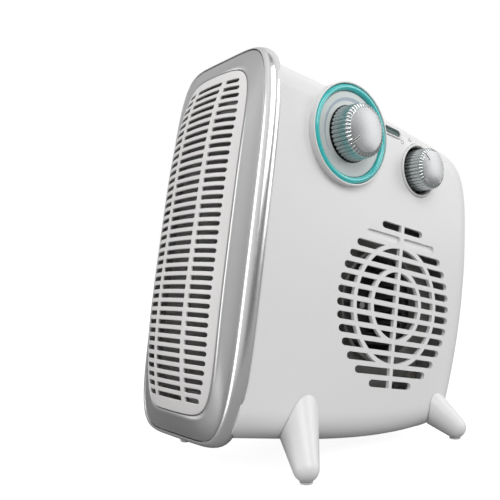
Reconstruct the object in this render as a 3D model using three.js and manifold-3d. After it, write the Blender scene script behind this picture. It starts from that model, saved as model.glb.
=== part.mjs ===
// Ceramic fan heater with a side intake, a curved front outlet grille and two side knobs.
//
// Units are millimetres. The part frame has +Z up, the outlet faces -Y and the knobs face +X.
// The heater leans back on its legs, so all of it except the foot pads is built in a body frame
// and turned by LEAN. The body frame has its origin on the fan axis, on the centre plane.

import * as THREE from 'three';
import { mergeVertices } from 'three/addons/utils/BufferGeometryUtils.js';
import Module from 'manifold-3d';

const wasm = await Module();
wasm.setup();

// ---------------------------------------------------------------- driving dimensions

const LEAN = THREE.MathUtils.degToRad(10);
const GAP = 0.3;

// Housing: a side outline in the body's YZ plane, as wide as the two side walls are apart.
const HALF_WIDTH = 51;
const WALL = 2.5;
const EDGE_RADIUS = 14;
const HOUSING_FRONT = -121;
const HOUSING_TOP = 132.5;
const HOUSING_BOTTOM = -89.6;
const SPLIT = 0.15;

// Front end: a rounded band, a sloping frame and a pillow-shaped grille, all barrel outlines.
const FRONT_Z = 23.6;
const BARREL_WIDE = 6.5;
const BARREL_TALL = 4.6;
const SEAM = { halfWidth: 48.5, halfHeight: 117.5, y: -126.9 };
const BAND_ROUND = 5.6;
const BAND_OUT = { side: 5.6, end: 2 };
const BAND_DEPTH = 0.4;
const FRAME_SLOPE = 9.6;
const FRAME_BACK = -122.3;
const GRILLE = { halfWidth: 38, halfHeight: 104, y: -143.2, thickness: 2.4 };
const SLOT_ROWS = 37;
const SLOT_PITCH = 5.3;
const SLOT_HEIGHT = 2.7;
const SLOT_REACH = 33;
const WEB_INNER = 13.4;
const WEB_OUTER = 16.8;

// Intake grille in the right wall, centred on the fan axis.
const INTAKE = { rows: 14, pitch: 8, slot: 4.8, radius: 56, rings: [24, 40], bar: 3 };
const BLIND_ROW = 1;

// Controls in the right wall: (y, z) of each axis, and how far the faces stand out.
const DIAL = { y: -60.8, z: 101.2, radius: 33, face: 55.5 };
const WELL = { y: 12, z: 96.9, radius: 18.8, floor: 40 };
const WINDOW = { y: -18.3, z: 116.6, length: 16.6, height: 5 };
const BUSH_RADIUS = 5;
const SHAFT_RADIUS = 3;

// Legs: base and tip centres of a tapered cone, on the right side. The left side mirrors them.
const FRONT_LEG = { base: [44.5, -73.6, -77], tip: [63.3, -79.7, -101], baseRadius: 13.3, tipRadius: 7.6 };
const REAR_LEG = { base: [43.5, 52, -63.9], tip: [58.8, 62.1, -76.2], baseRadius: 12.1, tipRadius: 7.6 };
const LEG_ROOT = 12;
const LEG_CUT = 1;
const PAD = { radius: 5, height: 1.2 };

// Screws: housing screws run along X, leg screws along each leg.
const HOUSING_SCREWS = [[-100, -76], [30, -69], [66, 70], [-105, 120]];
const SCREW_RADIUS = 1.5;
const BOSS_RADIUS = 5;

// Blower: a squirrel-cage wheel in a scroll, driven by a motor on the left.
const WHEEL = { radius: 45, inner: 36, left: -12, right: 26, blades: 24 };
const SCROLL = { left: -17, right: 31, tongue: 50, growth: 15, wall: 1.8, front: -50 };
const SHAFT = { radius: 2.5, left: -47, right: 20 };

// Heating element: ceramic bars between aluminium fins, in a frame behind the grille.
const HEATER = { front: -86, back: -66, halfWidth: 34, halfHeight: 62, wall: 2.5 };
const CERAMIC = { thickness: 3, length: 114, depth: 13 };
const FIN = { thickness: 11.6, length: 110, depth: 13, folds: 11, sheet: 0.8 };

const TILT_SWITCH = { y: -36, z: -63.5, length: 24, width: 20, height: 20, bob: 5 };
const CORD_INLET = { y: 78.2, z: -22.5, slope: -9, bore: 3.6 };

// ---------------------------------------------------------------- materials

const COLOURS = {
  whitePlastic: [0xf1f1ef, 0.3, 0],
  pearlSilver: [0xdcdcdc, 0.18, 0.55],
  satinSilver: [0xa9abad, 0.35, 0.6],
  aquaGloss: [0x19c8c2, 0.12, 0],
  greyPlate: [0xd5d7da, 0.45, 0],
  knobSilver: [0xb9bbbc, 0.28, 0.85],
  darkPlastic: [0x2d2f31, 0.5, 0],
  tealGlass: [0x1d4f4a, 0.1, 0],
  lampGlass: [0xd07040, 0.15, 0],
  blackPlastic: [0x1b1c1d, 0.55, 0],
  steel: [0x9c9fa2, 0.35, 1],
  lamination: [0x6f7174, 0.5, 0.9],
  copper: [0xb0673a, 0.35, 0.9],
  brass: [0xb89a55, 0.35, 0.9],
  aluminium: [0xc3c6c9, 0.35, 0.95],
  ceramic: [0xe7e2d6, 0.7, 0],
  heatPlastic: [0xb9b09c, 0.6, 0],
  rubber: [0x4c4e50, 0.9, 0],
};

function material(name) {
  const [color, roughness, metalness] = COLOURS[name];
  return new THREE.MeshStandardMaterial({ color, roughness, metalness });
}

// ---------------------------------------------------------------- solids and booleans

const X_AXIS = new THREE.Vector3(1, 0, 0);
const Y_AXIS = new THREE.Vector3(0, 1, 0);
const Z_AXIS = new THREE.Vector3(0, 0, 1);
const SIDE_ON = new THREE.Matrix4().makeBasis(Y_AXIS, Z_AXIS, X_AXIS);
const FRONT_ON = new THREE.Matrix4().makeBasis(X_AXIS, Z_AXIS, Y_AXIS.clone().negate());

function toSolid(geometry) {
  const bare = geometry.clone();
  bare.deleteAttribute('normal');
  bare.deleteAttribute('uv');
  const merged = mergeVertices(bare, 1e-4);
  const triangles = [];
  for (let i = 0; i < merged.index.count; i += 3) {
    const [a, b, c] = [0, 1, 2].map((k) => merged.index.getX(i + k));
    if (a !== b && b !== c && c !== a) triangles.push(a, b, c);
  }
  const mesh = new wasm.Mesh({
    numProp: 3,
    vertProperties: new Float32Array(merged.attributes.position.array),
    triVerts: new Uint32Array(triangles),
  });
  return new wasm.Manifold(mesh);
}

function toGeometry(solid) {
  const mesh = solid.getMesh();
  const geometry = new THREE.BufferGeometry();
  geometry.setAttribute('position', new THREE.BufferAttribute(mesh.vertProperties, 3));
  geometry.setIndex(new THREE.BufferAttribute(mesh.triVerts, 1));
  return geometry;
}

const joined = (solids) => solids.reduce((whole, solid) => whole.add(solid));
const cut = (solid, tools) => tools.reduce((rest, tool) => rest.subtract(tool), solid);

function box(x0, x1, y0, y1, z0, z1) {
  const geometry = new THREE.BoxGeometry(x1 - x0, y1 - y0, z1 - z0);
  geometry.translate((x0 + x1) / 2, (y0 + y1) / 2, (z0 + z1) / 2);
  return toSolid(geometry);
}

// A shape drawn in (y, z), extruded along X from x0 to x1.
function sideExtrusion(shape, x0, x1, options = {}) {
  const depth = x1 - x0;
  const geometry = new THREE.ExtrudeGeometry(shape, { depth, bevelEnabled: false, ...options });
  geometry.applyMatrix4(SIDE_ON);
  geometry.translate(x0, 0, 0);
  return toSolid(geometry);
}

// A shape drawn in (x, z), extruded towards the front from yBack to yFront.
function frontExtrusion(shape, yBack, yFront, options = {}) {
  const depth = yBack - yFront;
  const geometry = new THREE.ExtrudeGeometry(shape, { depth, bevelEnabled: false, ...options });
  geometry.applyMatrix4(FRONT_ON);
  geometry.translate(0, yBack, 0);
  return toSolid(geometry);
}

// A profile of [radius, x] points turned about the line through (y, z) along X.
function turned(profile, y, z, segments = 32) {
  const points = profile.map(([radius, along]) => new THREE.Vector2(radius, along));
  const geometry = new THREE.LatheGeometry(points, segments);
  geometry.rotateZ(-Math.PI / 2);
  geometry.translate(0, y, z);
  return toSolid(geometry);
}

function rod(radius, x0, x1, y, z, segments = 24) {
  return turned([[0, x0], [radius, x0], [radius, x1], [0, x1]], y, z, segments);
}

function tube(outer, inner, x0, x1, y, z, segments = 32) {
  return turned([[inner, x0], [outer, x0], [outer, x1], [inner, x1], [inner, x0]], y, z, segments);
}

// A [radius, distance] profile turned about the line from one point towards another.
function turnedAlong(profile, from, to, segments) {
  const direction = to.clone().sub(from).normalize();
  const geometry = new THREE.LatheGeometry(profile.map(([r, s]) => new THREE.Vector2(r, s)), segments);
  geometry.applyQuaternion(new THREE.Quaternion().setFromUnitVectors(Y_AXIS, direction));
  geometry.translate(from.x, from.y, from.z);
  return toSolid(geometry);
}

function pill(centreY, centreZ, length, height) {
  const shape = new THREE.Shape();
  const straight = (length - height) / 2;
  shape.absarc(centreY + straight, centreZ, height / 2, -Math.PI / 2, Math.PI / 2);
  shape.absarc(centreY - straight, centreZ, height / 2, Math.PI / 2, Math.PI * 1.5);
  return shape;
}

// ---------------------------------------------------------------- housing

function housingOutline() {
  const shape = new THREE.Shape();
  shape.moveTo(HOUSING_FRONT - 30, HOUSING_TOP);
  shape.lineTo(-85, HOUSING_TOP);
  shape.quadraticCurveTo(-60, HOUSING_TOP, 45, 122);
  shape.bezierCurveTo(66, 119.5, 76, 106, 79.5, 75);
  shape.quadraticCurveTo(88, 8, 71, -58);
  shape.bezierCurveTo(66.5, -75, 52, -78.5, 40, -80.3);
  shape.quadraticCurveTo(0, -88.8, -60, HOUSING_BOTTOM);
  shape.lineTo(HOUSING_FRONT - 30, HOUSING_BOTTOM);
  return shape;
}

// The housing's outer form, shrunk inwards by inset on every side (negative grows it).
function housingForm(inset, bevelSegments = 3) {
  const radius = EDGE_RADIUS - Math.max(inset, 0);
  const reach = HALF_WIDTH - inset - radius;
  return sideExtrusion(housingOutline(), -reach, reach, {
    curveSegments: 6,
    bevelEnabled: true,
    bevelThickness: radius,
    bevelSize: radius,
    bevelOffset: -radius - inset,
    bevelSegments,
  });
}

const houseOuter = housingForm(0);
const houseGrown = housingForm(-GAP);
const houseInner = housingForm(WALL, 2);

function legPoints(leg, side) {
  const mirrored = ([x, y, z]) => new THREE.Vector3(side * x, y, z);
  return [mirrored(leg.base), mirrored(leg.tip)];
}

function legScrewBoss(leg, side) {
  const [base, tip] = legPoints(leg, side);
  return turnedAlong([[0, 0], [5.5, 0], [5.5, 24], [0, 24]], base, tip, 8).intersect(houseOuter);
}

function legScrewHole(leg, side) {
  const [base, tip] = legPoints(leg, side);
  return turnedAlong([[0, -6], [2, -6], [2, 30], [0, 30]], base, tip, 8);
}

// The screw pillars run from the wall to the parting plane.
function pillars(side) {
  const reach = side * (HALF_WIDTH - WALL / 2);
  const [x0, x1] = side > 0 ? [SPLIT, reach] : [reach, -SPLIT];
  return HOUSING_SCREWS.map(([y, z]) => rod(BOSS_RADIUS, x0, x1, y, z, 8));
}

function housingHalf(side, extraCuts) {
  const [x0, x1] = side > 0 ? [SPLIT, 60] : [-60, -SPLIT];
  const halfSpace = box(x0, x1, HOUSING_FRONT, 120, -120, 160);
  const shell = houseOuter.intersect(halfSpace).subtract(houseInner);
  const bosses = [FRONT_LEG, REAR_LEG].map((leg) => legScrewBoss(leg, side).intersect(halfSpace));
  const inlet = turnedAlong([[0, -12], [5.6, -12], [5.6, 12], [0, 12]], inletPoint(0), inletPoint(1), 16);
  const holes = [FRONT_LEG, REAR_LEG].map((leg) => legScrewHole(leg, side));
  return cut(joined([shell, ...bosses, ...pillars(side)]), [...holes, inlet, ...extraCuts]);
}

// Rows of slots inside a circle, broken by the solid rings and the middle bar.
function intakeCutter() {
  const { rows, pitch, slot, radius, rings, bar } = INTAKE;
  const bars = [];
  for (let row = 0; row < rows; row += 1) {
    if (row === BLIND_ROW) continue;
    const z = ((rows - 1) / 2 - row) * pitch;
    bars.push(box(44, 56, -radius, radius, z - slot / 2, z + slot / 2));
  }
  const disc = rod(radius, 43, 57, 0, 0, 28);
  const solidRings = rings.map((r) => tube(r + bar / 2, r - bar / 2, 40, 60, 0, 0, 20));
  return cut(joined(bars).intersect(disc), [...solidRings, box(40, 60, -bar / 2, bar / 2, -60, 60)]);
}

// The second row from the top is only pressed into the wall.
function blindSlot() {
  const z = ((INTAKE.rows - 1) / 2 - BLIND_ROW) * INTAKE.pitch;
  const halfLength = Math.sqrt(INTAKE.radius ** 2 - z ** 2) - INTAKE.slot / 2;
  const deep = pill(0, z, 2 * halfLength + INTAKE.slot, INTAKE.slot);
  return sideExtrusion(deep, HALF_WIDTH - 1, HALF_WIDTH + 2, { curveSegments: 3 });
}

function housingRight() {
  const screwBores = HOUSING_SCREWS.map(([y, z]) => rod(SCREW_RADIUS + GAP, -1, 20, y, z, 8));
  const wellHole = rod(WELL.radius - 1.4 + GAP, 38, 60, WELL.y, WELL.z, 24);
  const dialHole = rod(BUSH_RADIUS + GAP, 40, 60, DIAL.y, DIAL.z, 16);
  const windowHole = sideExtrusion(
    pill(WINDOW.y, WINDOW.z, WINDOW.length + 2 + 2 * GAP, WINDOW.height + 2 + 2 * GAP),
    40,
    60,
    { curveSegments: 4 },
  );
  return housingHalf(1, [...screwBores, wellHole, dialHole, windowHole, intakeCutter(), blindSlot()]);
}

function housingLeft() {
  const clearance = HOUSING_SCREWS.map(([y, z]) => rod(SCREW_RADIUS + GAP, -60, 0, y, z, 8));
  const headRecess = HOUSING_SCREWS.map(([y, z]) => rod(3.8, -60, -30, y, z, 8));
  return housingHalf(-1, [...clearance, ...headRecess]);
}

function inletPoint(distance) {
  const slope = THREE.MathUtils.degToRad(CORD_INLET.slope);
  return new THREE.Vector3(
    0,
    CORD_INLET.y + distance * Math.cos(slope),
    CORD_INLET.z + distance * Math.sin(slope),
  );
}

function cordInlet() {
  const { bore } = CORD_INLET;
  const inside = [[bore, -5], [8, -5], [8, -3], [5.2, -3]];
  const outside = [[5.2, 0.8], [8, 0.8], [7, 4], [bore, 4], [bore, -5]];
  return turnedAlong([...inside, ...outside], inletPoint(0), inletPoint(1), 16);
}

function housingScrew([y, z]) {
  const head = [[0, -32], [3.3, -32], [3.3, -30.2]];
  const thread = [[SCREW_RADIUS, -30.2], [SCREW_RADIUS, 17], [0, 17.8]];
  return turned([...head, ...thread], y, z, 8);
}

// ---------------------------------------------------------------- front end

// A rounded rectangle with slightly bowed sides: |x/a|^wide + |z/b|^tall = 1.
function barrelOutline(halfWidth, halfHeight) {
  const count = 36;
  const points = [];
  for (let i = 0; i < count; i += 1) {
    const angle = ((i + 0.5) / count) * Math.PI * 2;
    const c = Math.cos(angle);
    const s = Math.sin(angle);
    points.push(new THREE.Vector2(
      Math.sign(c) * halfWidth * Math.abs(c) ** (2 / BARREL_WIDE),
      FRONT_Z + Math.sign(s) * halfHeight * Math.abs(s) ** (2 / BARREL_TALL),
    ));
  }
  return new THREE.Shape(points);
}

// How far the pillow-shaped front falls back from its foremost point.
function frontFall(x, z) {
  const up = (z - FRONT_Z) / 100;
  const across = x / 10;
  return 0.34 * across ** 2 + 0.0195 * across ** 4 + 0.45 * up ** 2 + 8.1 * up ** 4;
}

const grilleFront = (x, z) => GRILLE.y + frontFall(x, z);

function frontBand() {
  const outline = barrelOutline(SEAM.halfWidth + BAND_OUT.side, SEAM.halfHeight + BAND_OUT.end);
  const back = SEAM.y + BAND_ROUND + BAND_DEPTH;
  const ring = frontExtrusion(outline, back, back - BAND_DEPTH, {
    bevelEnabled: true,
    bevelThickness: BAND_ROUND,
    bevelSize: BAND_ROUND,
    bevelOffset: -BAND_ROUND,
    bevelSegments: 3,
  });
  const opening = barrelOutline(SEAM.halfWidth + GAP, SEAM.halfHeight + GAP);
  const insideFront = frontExtrusion(opening, HOUSING_FRONT - GAP, -140);
  const insideBack = houseGrown.intersect(box(-60, 60, HOUSING_FRONT - GAP, -100, -120, 160));
  return cut(ring, [insideFront, insideBack]);
}

function frontFrame() {
  const outline = barrelOutline(SEAM.halfWidth, SEAM.halfHeight);
  const lip = GRILLE.y + frontFall(GRILLE.halfWidth, FRONT_Z);
  const slope = frontExtrusion(outline, SEAM.y + 20, SEAM.y, {
    bevelEnabled: true,
    bevelThickness: SEAM.y - lip,
    bevelSize: FRAME_SLOPE,
    bevelOffset: -FRAME_SLOPE,
    bevelSegments: 1,
  });
  const block = slope.intersect(box(-60, 60, -160, FRAME_BACK, -120, 160));
  const opening = barrelOutline(GRILLE.halfWidth + GAP, GRILLE.halfHeight + GAP);
  const ledge = barrelOutline(GRILLE.halfWidth - 2, GRILLE.halfHeight - 2);
  const frame = toGeometry(cut(block, [
    frontExtrusion(opening, -124.5, -150),
    frontExtrusion(ledge, -110, -150),
  ]));
  followGrille(frame, (lip + SEAM.y) / 2);
  return frame;
}

// Moves the vertices in front of the limit onto the grille's surface.
function followGrille(geometry, limit) {
  const position = geometry.attributes.position;
  for (let i = 0; i < position.count; i += 1) {
    if (position.getY(i) > limit) continue;
    position.setY(i, Math.min(grilleFront(position.getX(i), position.getZ(i)) + GAP, SEAM.y - 1));
  }
}

// The end rows are shorter, so the slot field has a rounded outline too.
function slotReach(row) {
  const fromEnd = Math.min(row, SLOT_ROWS - 1 - row);
  const shortening = [8, 4.4, 2.6, 1.4, 0.6][fromEnd] ?? 0;
  return SLOT_REACH - shortening;
}

function slotShape(x0, x1, z) {
  const slot = new THREE.Shape();
  const half = SLOT_HEIGHT / 2;
  slot.moveTo(x0, z - half);
  slot.lineTo(x1, z - half);
  slot.lineTo(x1, z + half);
  slot.lineTo(x0, z + half);
  return slot;
}

function frontGrille() {
  const slots = [];
  for (let row = 0; row < SLOT_ROWS; row += 1) {
    const z = FRONT_Z + ((SLOT_ROWS - 1) / 2 - row) * SLOT_PITCH;
    const reach = slotReach(row);
    const spans = [[-reach, -WEB_OUTER], [-WEB_INNER, WEB_INNER], [WEB_OUTER, reach]];
    slots.push(...spans.map(([x0, x1]) => slotShape(x0, x1, z)));
  }
  const plate = frontExtrusion(barrelOutline(GRILLE.halfWidth, GRILLE.halfHeight), GRILLE.thickness, 0);
  const geometry = toGeometry(plate.subtract(frontExtrusion(slots, GRILLE.thickness + 1, -1)));
  const position = geometry.attributes.position;
  for (let i = 0; i < position.count; i += 1) {
    const front = grilleFront(position.getX(i), position.getZ(i));
    position.setY(i, position.getY(i) + front);
  }
  return geometry;
}

// ---------------------------------------------------------------- dial and knobs

function dialBezel() {
  const { y, z, radius, face } = DIAL;
  const recess = HALF_WIDTH + 1.3;
  const outer = rod(radius, 36, face, y, z, 32);
  return cut(outer, [
    houseGrown,
    rod(radius - 2.4, recess, face + 1, y, z, 32),
    rod(BUSH_RADIUS + GAP, 30, 60, y, z, 16),
  ]);
}

function dialRing() {
  const inner = 26.9;
  const outer = DIAL.radius - 2.4 - GAP;
  const low = HALF_WIDTH + 1.3 + GAP;
  const top = DIAL.face - 0.3;
  const mid = (inner + outer) / 2;
  const crown = [[outer, top - 1.2], [mid, top], [inner, top - 1.2]];
  return turned([[inner, low], [outer, low], ...crown, [inner, low]], DIAL.y, DIAL.z, 32);
}

function dialPlate() {
  return tube(26.6, 9.5, HALF_WIDTH + 1.3 + GAP, DIAL.face - 1.7, DIAL.y, DIAL.z, 28);
}

// A hollow knob with a fluted grip, a bevelled face and a bore for its shaft.
function knob({ y, z, base, face, skirtRadius, faceRadius, flutes }) {
  const outline = new THREE.Shape();
  for (let i = 0; i < flutes * 2; i += 1) {
    const angle = (i / (flutes * 2)) * Math.PI * 2;
    const radius = skirtRadius - (i % 2) * 0.7;
    const [py, pz] = [y + radius * Math.cos(angle), z + radius * Math.sin(angle)];
    if (i === 0) outline.moveTo(py, pz);
    else outline.lineTo(py, pz);
  }
  const grip = sideExtrusion(outline, base, face);
  const skirt = [[0, base - 1], [skirtRadius + 0.1, base - 1]];
  const bevel = [[faceRadius + 1.3, face - 1.4], [faceRadius, face], [0, face]];
  const draft = turned([...skirt, ...bevel], y, z, flutes);
  const hollow = tube(skirtRadius - 2.2, 6, base - 1, face - 4.5, y, z, 20);
  const bore = rod(SHAFT_RADIUS + GAP, base - 1, face - 4, y, z, 14);
  const nutRoom = rod(9, base - 1, base + 3.4, y, z, 16);
  return cut(grip.intersect(draft), [hollow, bore, nutRoom]);
}

const THERMOSTAT_KNOB = {
  y: DIAL.y, z: DIAL.z, base: DIAL.face - 0.9, face: 67.2, skirtRadius: 18.2, faceRadius: 15, flutes: 24,
};
const MODE_KNOB = {
  y: WELL.y, z: WELL.z, base: WELL.floor + 2.2, face: 63, skirtRadius: 15.2, faceRadius: 11.9, flutes: 20,
};

function modeWell() {
  const { y, z, radius, floor } = WELL;
  const outer = radius - 1.4;
  const wall = outer - 1.5;
  const profile = [
    [BUSH_RADIUS + GAP, floor - 1.5], [outer, floor - 1.5], [outer, HALF_WIDTH - 0.4],
    [wall, HALF_WIDTH - 0.4], [wall, floor], [BUSH_RADIUS + GAP, floor], [BUSH_RADIUS + GAP, floor - 1.5],
  ];
  return turned(profile, y, z, 24);
}

function modeBezel() {
  const { y, z, radius } = WELL;
  const x0 = HALF_WIDTH + GAP;
  const inner = radius - 2.6;
  const profile = [[inner, x0], [radius, x0], [radius - 0.4, x0 + 1], [inner + 0.5, x0 + 1], [inner, x0]];
  return turned(profile, y, z, 28);
}

// A square switch body with a threaded bush through the wall.
function switchBody(y, z, x0, x1, bushEnd, halfSize) {
  const block = box(x0, x1, y - halfSize, y + halfSize, z - halfSize * 0.8, z + halfSize * 0.8);
  const bush = rod(BUSH_RADIUS, x1 - 1, bushEnd, y, z, 16);
  return joined([block, bush]).subtract(rod(SHAFT_RADIUS + GAP, x1 - 6, bushEnd + 1, y, z, 14));
}

const thermostatBody = () => switchBody(DIAL.y, DIAL.z, 14, 34, DIAL.face - GAP, 13);
const modeSwitchBody = () => switchBody(WELL.y, WELL.z, 14, WELL.floor - 2, WELL.floor + 1, 14);

function bushNut(y, z, x0) {
  return rod(7.6, x0, x0 + 2.2, y, z, 6).subtract(rod(BUSH_RADIUS + GAP, x0 - 1, x0 + 4, y, z, 16));
}

function windowBezel() {
  const { y, z, length, height } = WINDOW;
  const outer = sideExtrusion(pill(y, z, length + 2, height + 2), 47, 51.9, { curveSegments: 4 });
  return outer.subtract(sideExtrusion(pill(y, z, length, height), 40, 60, { curveSegments: 4 }));
}

function windowLens() {
  const { y, z, length, height } = WINDOW;
  return sideExtrusion(pill(y, z, length - 2 * GAP, height - 2 * GAP), 47, 51.4, { curveSegments: 4 });
}

function pilotLamp() {
  const half = WINDOW.length / 2;
  const profile = [[0, 0], [1.6, 0], [2.4, 2], [2.4, 9], [1.4, 11.4], [0, 12]];
  const from = new THREE.Vector3(43.5, WINDOW.y - half, WINDOW.z);
  const to = new THREE.Vector3(43.5, WINDOW.y + half, WINDOW.z);
  return turnedAlong(profile, from, to, 10);
}

// ---------------------------------------------------------------- legs

const sin = Math.sin(LEAN);
const cos = Math.cos(LEAN);
const lean = ([x, y, z]) => new THREE.Vector3(x, y * cos + z * sin, -y * sin + z * cos);
const legBottom = (leg) => lean(leg.tip).z - leg.tipRadius;
const FLOOR = Math.min(legBottom(FRONT_LEG), legBottom(REAR_LEG)) + LEG_CUT - PAD.height - GAP;

function leg(shape, side) {
  const [base, tip] = legPoints(shape, side);
  const length = base.distanceTo(tip);
  const taper = (shape.baseRadius - shape.tipRadius) / length;
  const profile = [[0, -LEG_ROOT], [shape.baseRadius + taper * LEG_ROOT, -LEG_ROOT]];
  for (let i = 0; i <= 3; i += 1) {
    const angle = 0.16 + (i / 3) * (Math.PI / 2 - 0.16);
    profile.push([shape.tipRadius * Math.cos(angle), length + shape.tipRadius * Math.sin(angle)]);
  }
  profile[profile.length - 1][0] = 0;
  const cone = turnedAlong(profile, base, tip, 16);
  const bore = turnedAlong([[0, -1], [1.8, -1], [1.8, 22], [0, 22]], base, tip, 10);
  const ground = new THREE.BoxGeometry(60, 60, 20);
  const foot = lean([side * shape.tip[0], shape.tip[1], shape.tip[2]]);
  ground.translate(foot.x, foot.y, FLOOR + PAD.height + GAP - 10);
  ground.rotateX(LEAN);
  return cut(cone, [houseGrown, bore, toSolid(ground)]);
}

function legScrew(shape, side) {
  const [base, tip] = legPoints(shape, side);
  const profile = [[0, -2.2], [3.2, -2.2], [3.2, -GAP], [SCREW_RADIUS, -GAP], [SCREW_RADIUS, 20], [0, 21]];
  return turnedAlong(profile, base, tip, 8);
}

// Pads are level with the ground, so they are built upright, outside the leaning group.
function footPad(shape, side) {
  const tip = lean(shape.tip);
  const geometry = new THREE.CylinderGeometry(PAD.radius, PAD.radius, PAD.height, 20);
  geometry.rotateX(Math.PI / 2);
  geometry.translate(side * tip.x, tip.y, FLOOR + PAD.height / 2);
  return geometry;
}

// ---------------------------------------------------------------- blower

// The scroll's air path in (y, z), grown outwards by grow.
function scrollOutline(grow) {
  const shape = new THREE.Shape();
  shape.moveTo(SCROLL.front, -6 - grow);
  const steps = 18;
  for (let i = 0; i <= steps; i += 1) {
    const turn = THREE.MathUtils.degToRad(8 + (i / steps) * 262);
    const radius = SCROLL.tongue + (SCROLL.growth * i) / steps + grow;
    shape.lineTo(-radius * Math.cos(turn), -radius * Math.sin(turn));
  }
  shape.lineTo(SCROLL.front, SCROLL.tongue + SCROLL.growth + grow);
  return shape;
}

function scrollCasing() {
  const { left, right, wall, front } = SCROLL;
  const outer = sideExtrusion(scrollOutline(wall), left, right);
  const air = sideExtrusion(scrollOutline(0), left + wall, right + 1);
  const mouth = box(left + wall, right + 1, front - 5, front + 10, 2, SCROLL.tongue + SCROLL.growth);
  return cut(outer, [air, mouth, rod(9, left - 1, left + wall + 1, 0, 0, 16)]);
}

function scrollCover() {
  const { right, wall } = SCROLL;
  const plate = sideExtrusion(scrollOutline(wall), right + GAP, right + GAP + wall);
  const ring = tube(39, 37, right, right + 7, 0, 0, 24);
  return cut(joined([plate, ring.intersect(box(right + GAP, 60, -50, 50, -50, 50))]), [
    rod(37, right - 1, right + 10, 0, 0, 24),
  ]);
}

// A box whose back face is smaller and shifted: the walls of the duct.
function taperedBox(frontHalf, backBox, yFront, yBack) {
  const geometry = new THREE.BoxGeometry(1, yBack - yFront, 1);
  const position = geometry.attributes.position;
  for (let i = 0; i < position.count; i += 1) {
    const isBack = position.getY(i) > 0;
    const right = position.getX(i) > 0;
    const top = position.getZ(i) > 0;
    const frontX = right ? frontHalf[0] : -frontHalf[0];
    const frontZ = FRONT_Z + (top ? frontHalf[1] : -frontHalf[1]);
    position.setX(i, isBack ? backBox[right ? 1 : 0] : frontX);
    position.setZ(i, isBack ? backBox[top ? 3 : 2] : frontZ);
    position.setY(i, isBack ? yBack : yFront);
  }
  return toSolid(geometry);
}

function airDuct() {
  const { left, right, wall, front, tongue, growth } = SCROLL;
  const top = tongue + growth + wall;
  const yFront = HEATER.back + GAP;
  const yBack = front - GAP;
  const half = [HEATER.halfWidth, HEATER.halfHeight];
  const outer = taperedBox(half, [left, right, 0, top], yFront, yBack);
  const inner = taperedBox(
    half.map((v) => v - wall),
    [left + wall, right - wall, wall, top - wall],
    yFront - 0.01,
    yBack + 0.01,
  );
  return outer.subtract(inner);
}

function fanWheel() {
  const { radius, inner, left, right, blades } = WHEEL;
  const plate = rod(radius, left, left + 1.6, 0, 0, 32);
  const hub = rod(7, left, left + 14, 0, 0, 16);
  const rim = tube(radius, inner + 2, right - 2, right, 0, 0, 32);
  const parts = [plate, hub, rim];
  for (let i = 0; i < blades; i += 1) {
    const blade = new THREE.Shape();
    blade.moveTo(inner, 0);
    blade.lineTo(radius - 1, 4.4);
    blade.lineTo(radius - 1, 5.8);
    blade.lineTo(inner, 1.2);
    const depth = right - left - 1.6;
    const geometry = new THREE.ExtrudeGeometry(blade, { depth, bevelEnabled: false });
    geometry.rotateZ((i / blades) * Math.PI * 2);
    geometry.applyMatrix4(SIDE_ON);
    geometry.translate(left + 0.8, 0, 0);
    parts.push(toSolid(geometry));
  }
  return joined(parts).subtract(rod(SHAFT.radius + 0.15, left - 1, right, 0, 0, 14));
}

function motorShaft() {
  return rod(SHAFT.radius, SHAFT.left, SHAFT.right, 0, 0, 14);
}

function motorRotor() {
  return tube(12, SHAFT.radius + 0.15, -40, -24, 0, 0, 24);
}

// A skeleton motor: a laminated frame with the rotor bore above and the coil leg below.
function motorStator() {
  const frame = box(-40, -24, -24, 24, -42, 20);
  return cut(frame, [rod(12.6, -41, -23, 0, 0, 24), box(-41, -23, -12, 12, -32, -17)]);
}

function motorCoil() {
  const winding = box(-46, -18.8, -11.4, 11.4, -47, -18);
  return winding.subtract(box(-40 - GAP, -24 + GAP, -12, 12, -42 - GAP, -32 + GAP));
}

// A strap across the motor with a round bearing seat in the middle.
function motorBracket(x0, x1) {
  const strap = box(x0, x1, -23, 23, -7, 7);
  const seat = rod(9, x0, x1, 0, 0, 20);
  return joined([strap, seat]).subtract(rod(SHAFT.radius + GAP, -60, 0, 0, 0, 14));
}

// ---------------------------------------------------------------- heating element

function heaterFrame() {
  const { front, back, halfWidth, halfHeight, wall } = HEATER;
  const [z0, z1] = [FRONT_Z - halfHeight, FRONT_Z + halfHeight];
  const outer = box(-halfWidth, halfWidth, front, back, z0, z1);
  const tabs = [FRONT_Z - 50, FRONT_Z + 50].map((z) => box(-48.2, 48.2, back - 5, back - 2, z - 6, z + 6));
  const hole = box(-halfWidth + wall, halfWidth - wall, front - 1, back + 1, z0 + wall, z1 - wall);
  const combs = [z0 + wall, z1 - wall].map((z) => {
    const inward = z < FRONT_Z ? [z - 0.5, z + 3.5] : [z - 3.5, z + 0.5];
    return box(-halfWidth + 1, halfWidth - 1, back - 3, back, ...inward);
  });
  return joined([joined([outer, ...tabs]).subtract(hole), ...combs]);
}

const STACK_STEP = FIN.thickness + CERAMIC.thickness + 2 * GAP;
const elementFront = (HEATER.front + HEATER.back) / 2 - FIN.depth / 2 - 1;

function ceramicBar(index) {
  const x = (index - 1) * STACK_STEP;
  const [half, reach] = [CERAMIC.thickness / 2, CERAMIC.length / 2];
  const [y0, y1] = [elementFront, elementFront + CERAMIC.depth];
  return box(x - half, x + half, y0, y1, FRONT_Z - reach, FRONT_Z + reach);
}

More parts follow.
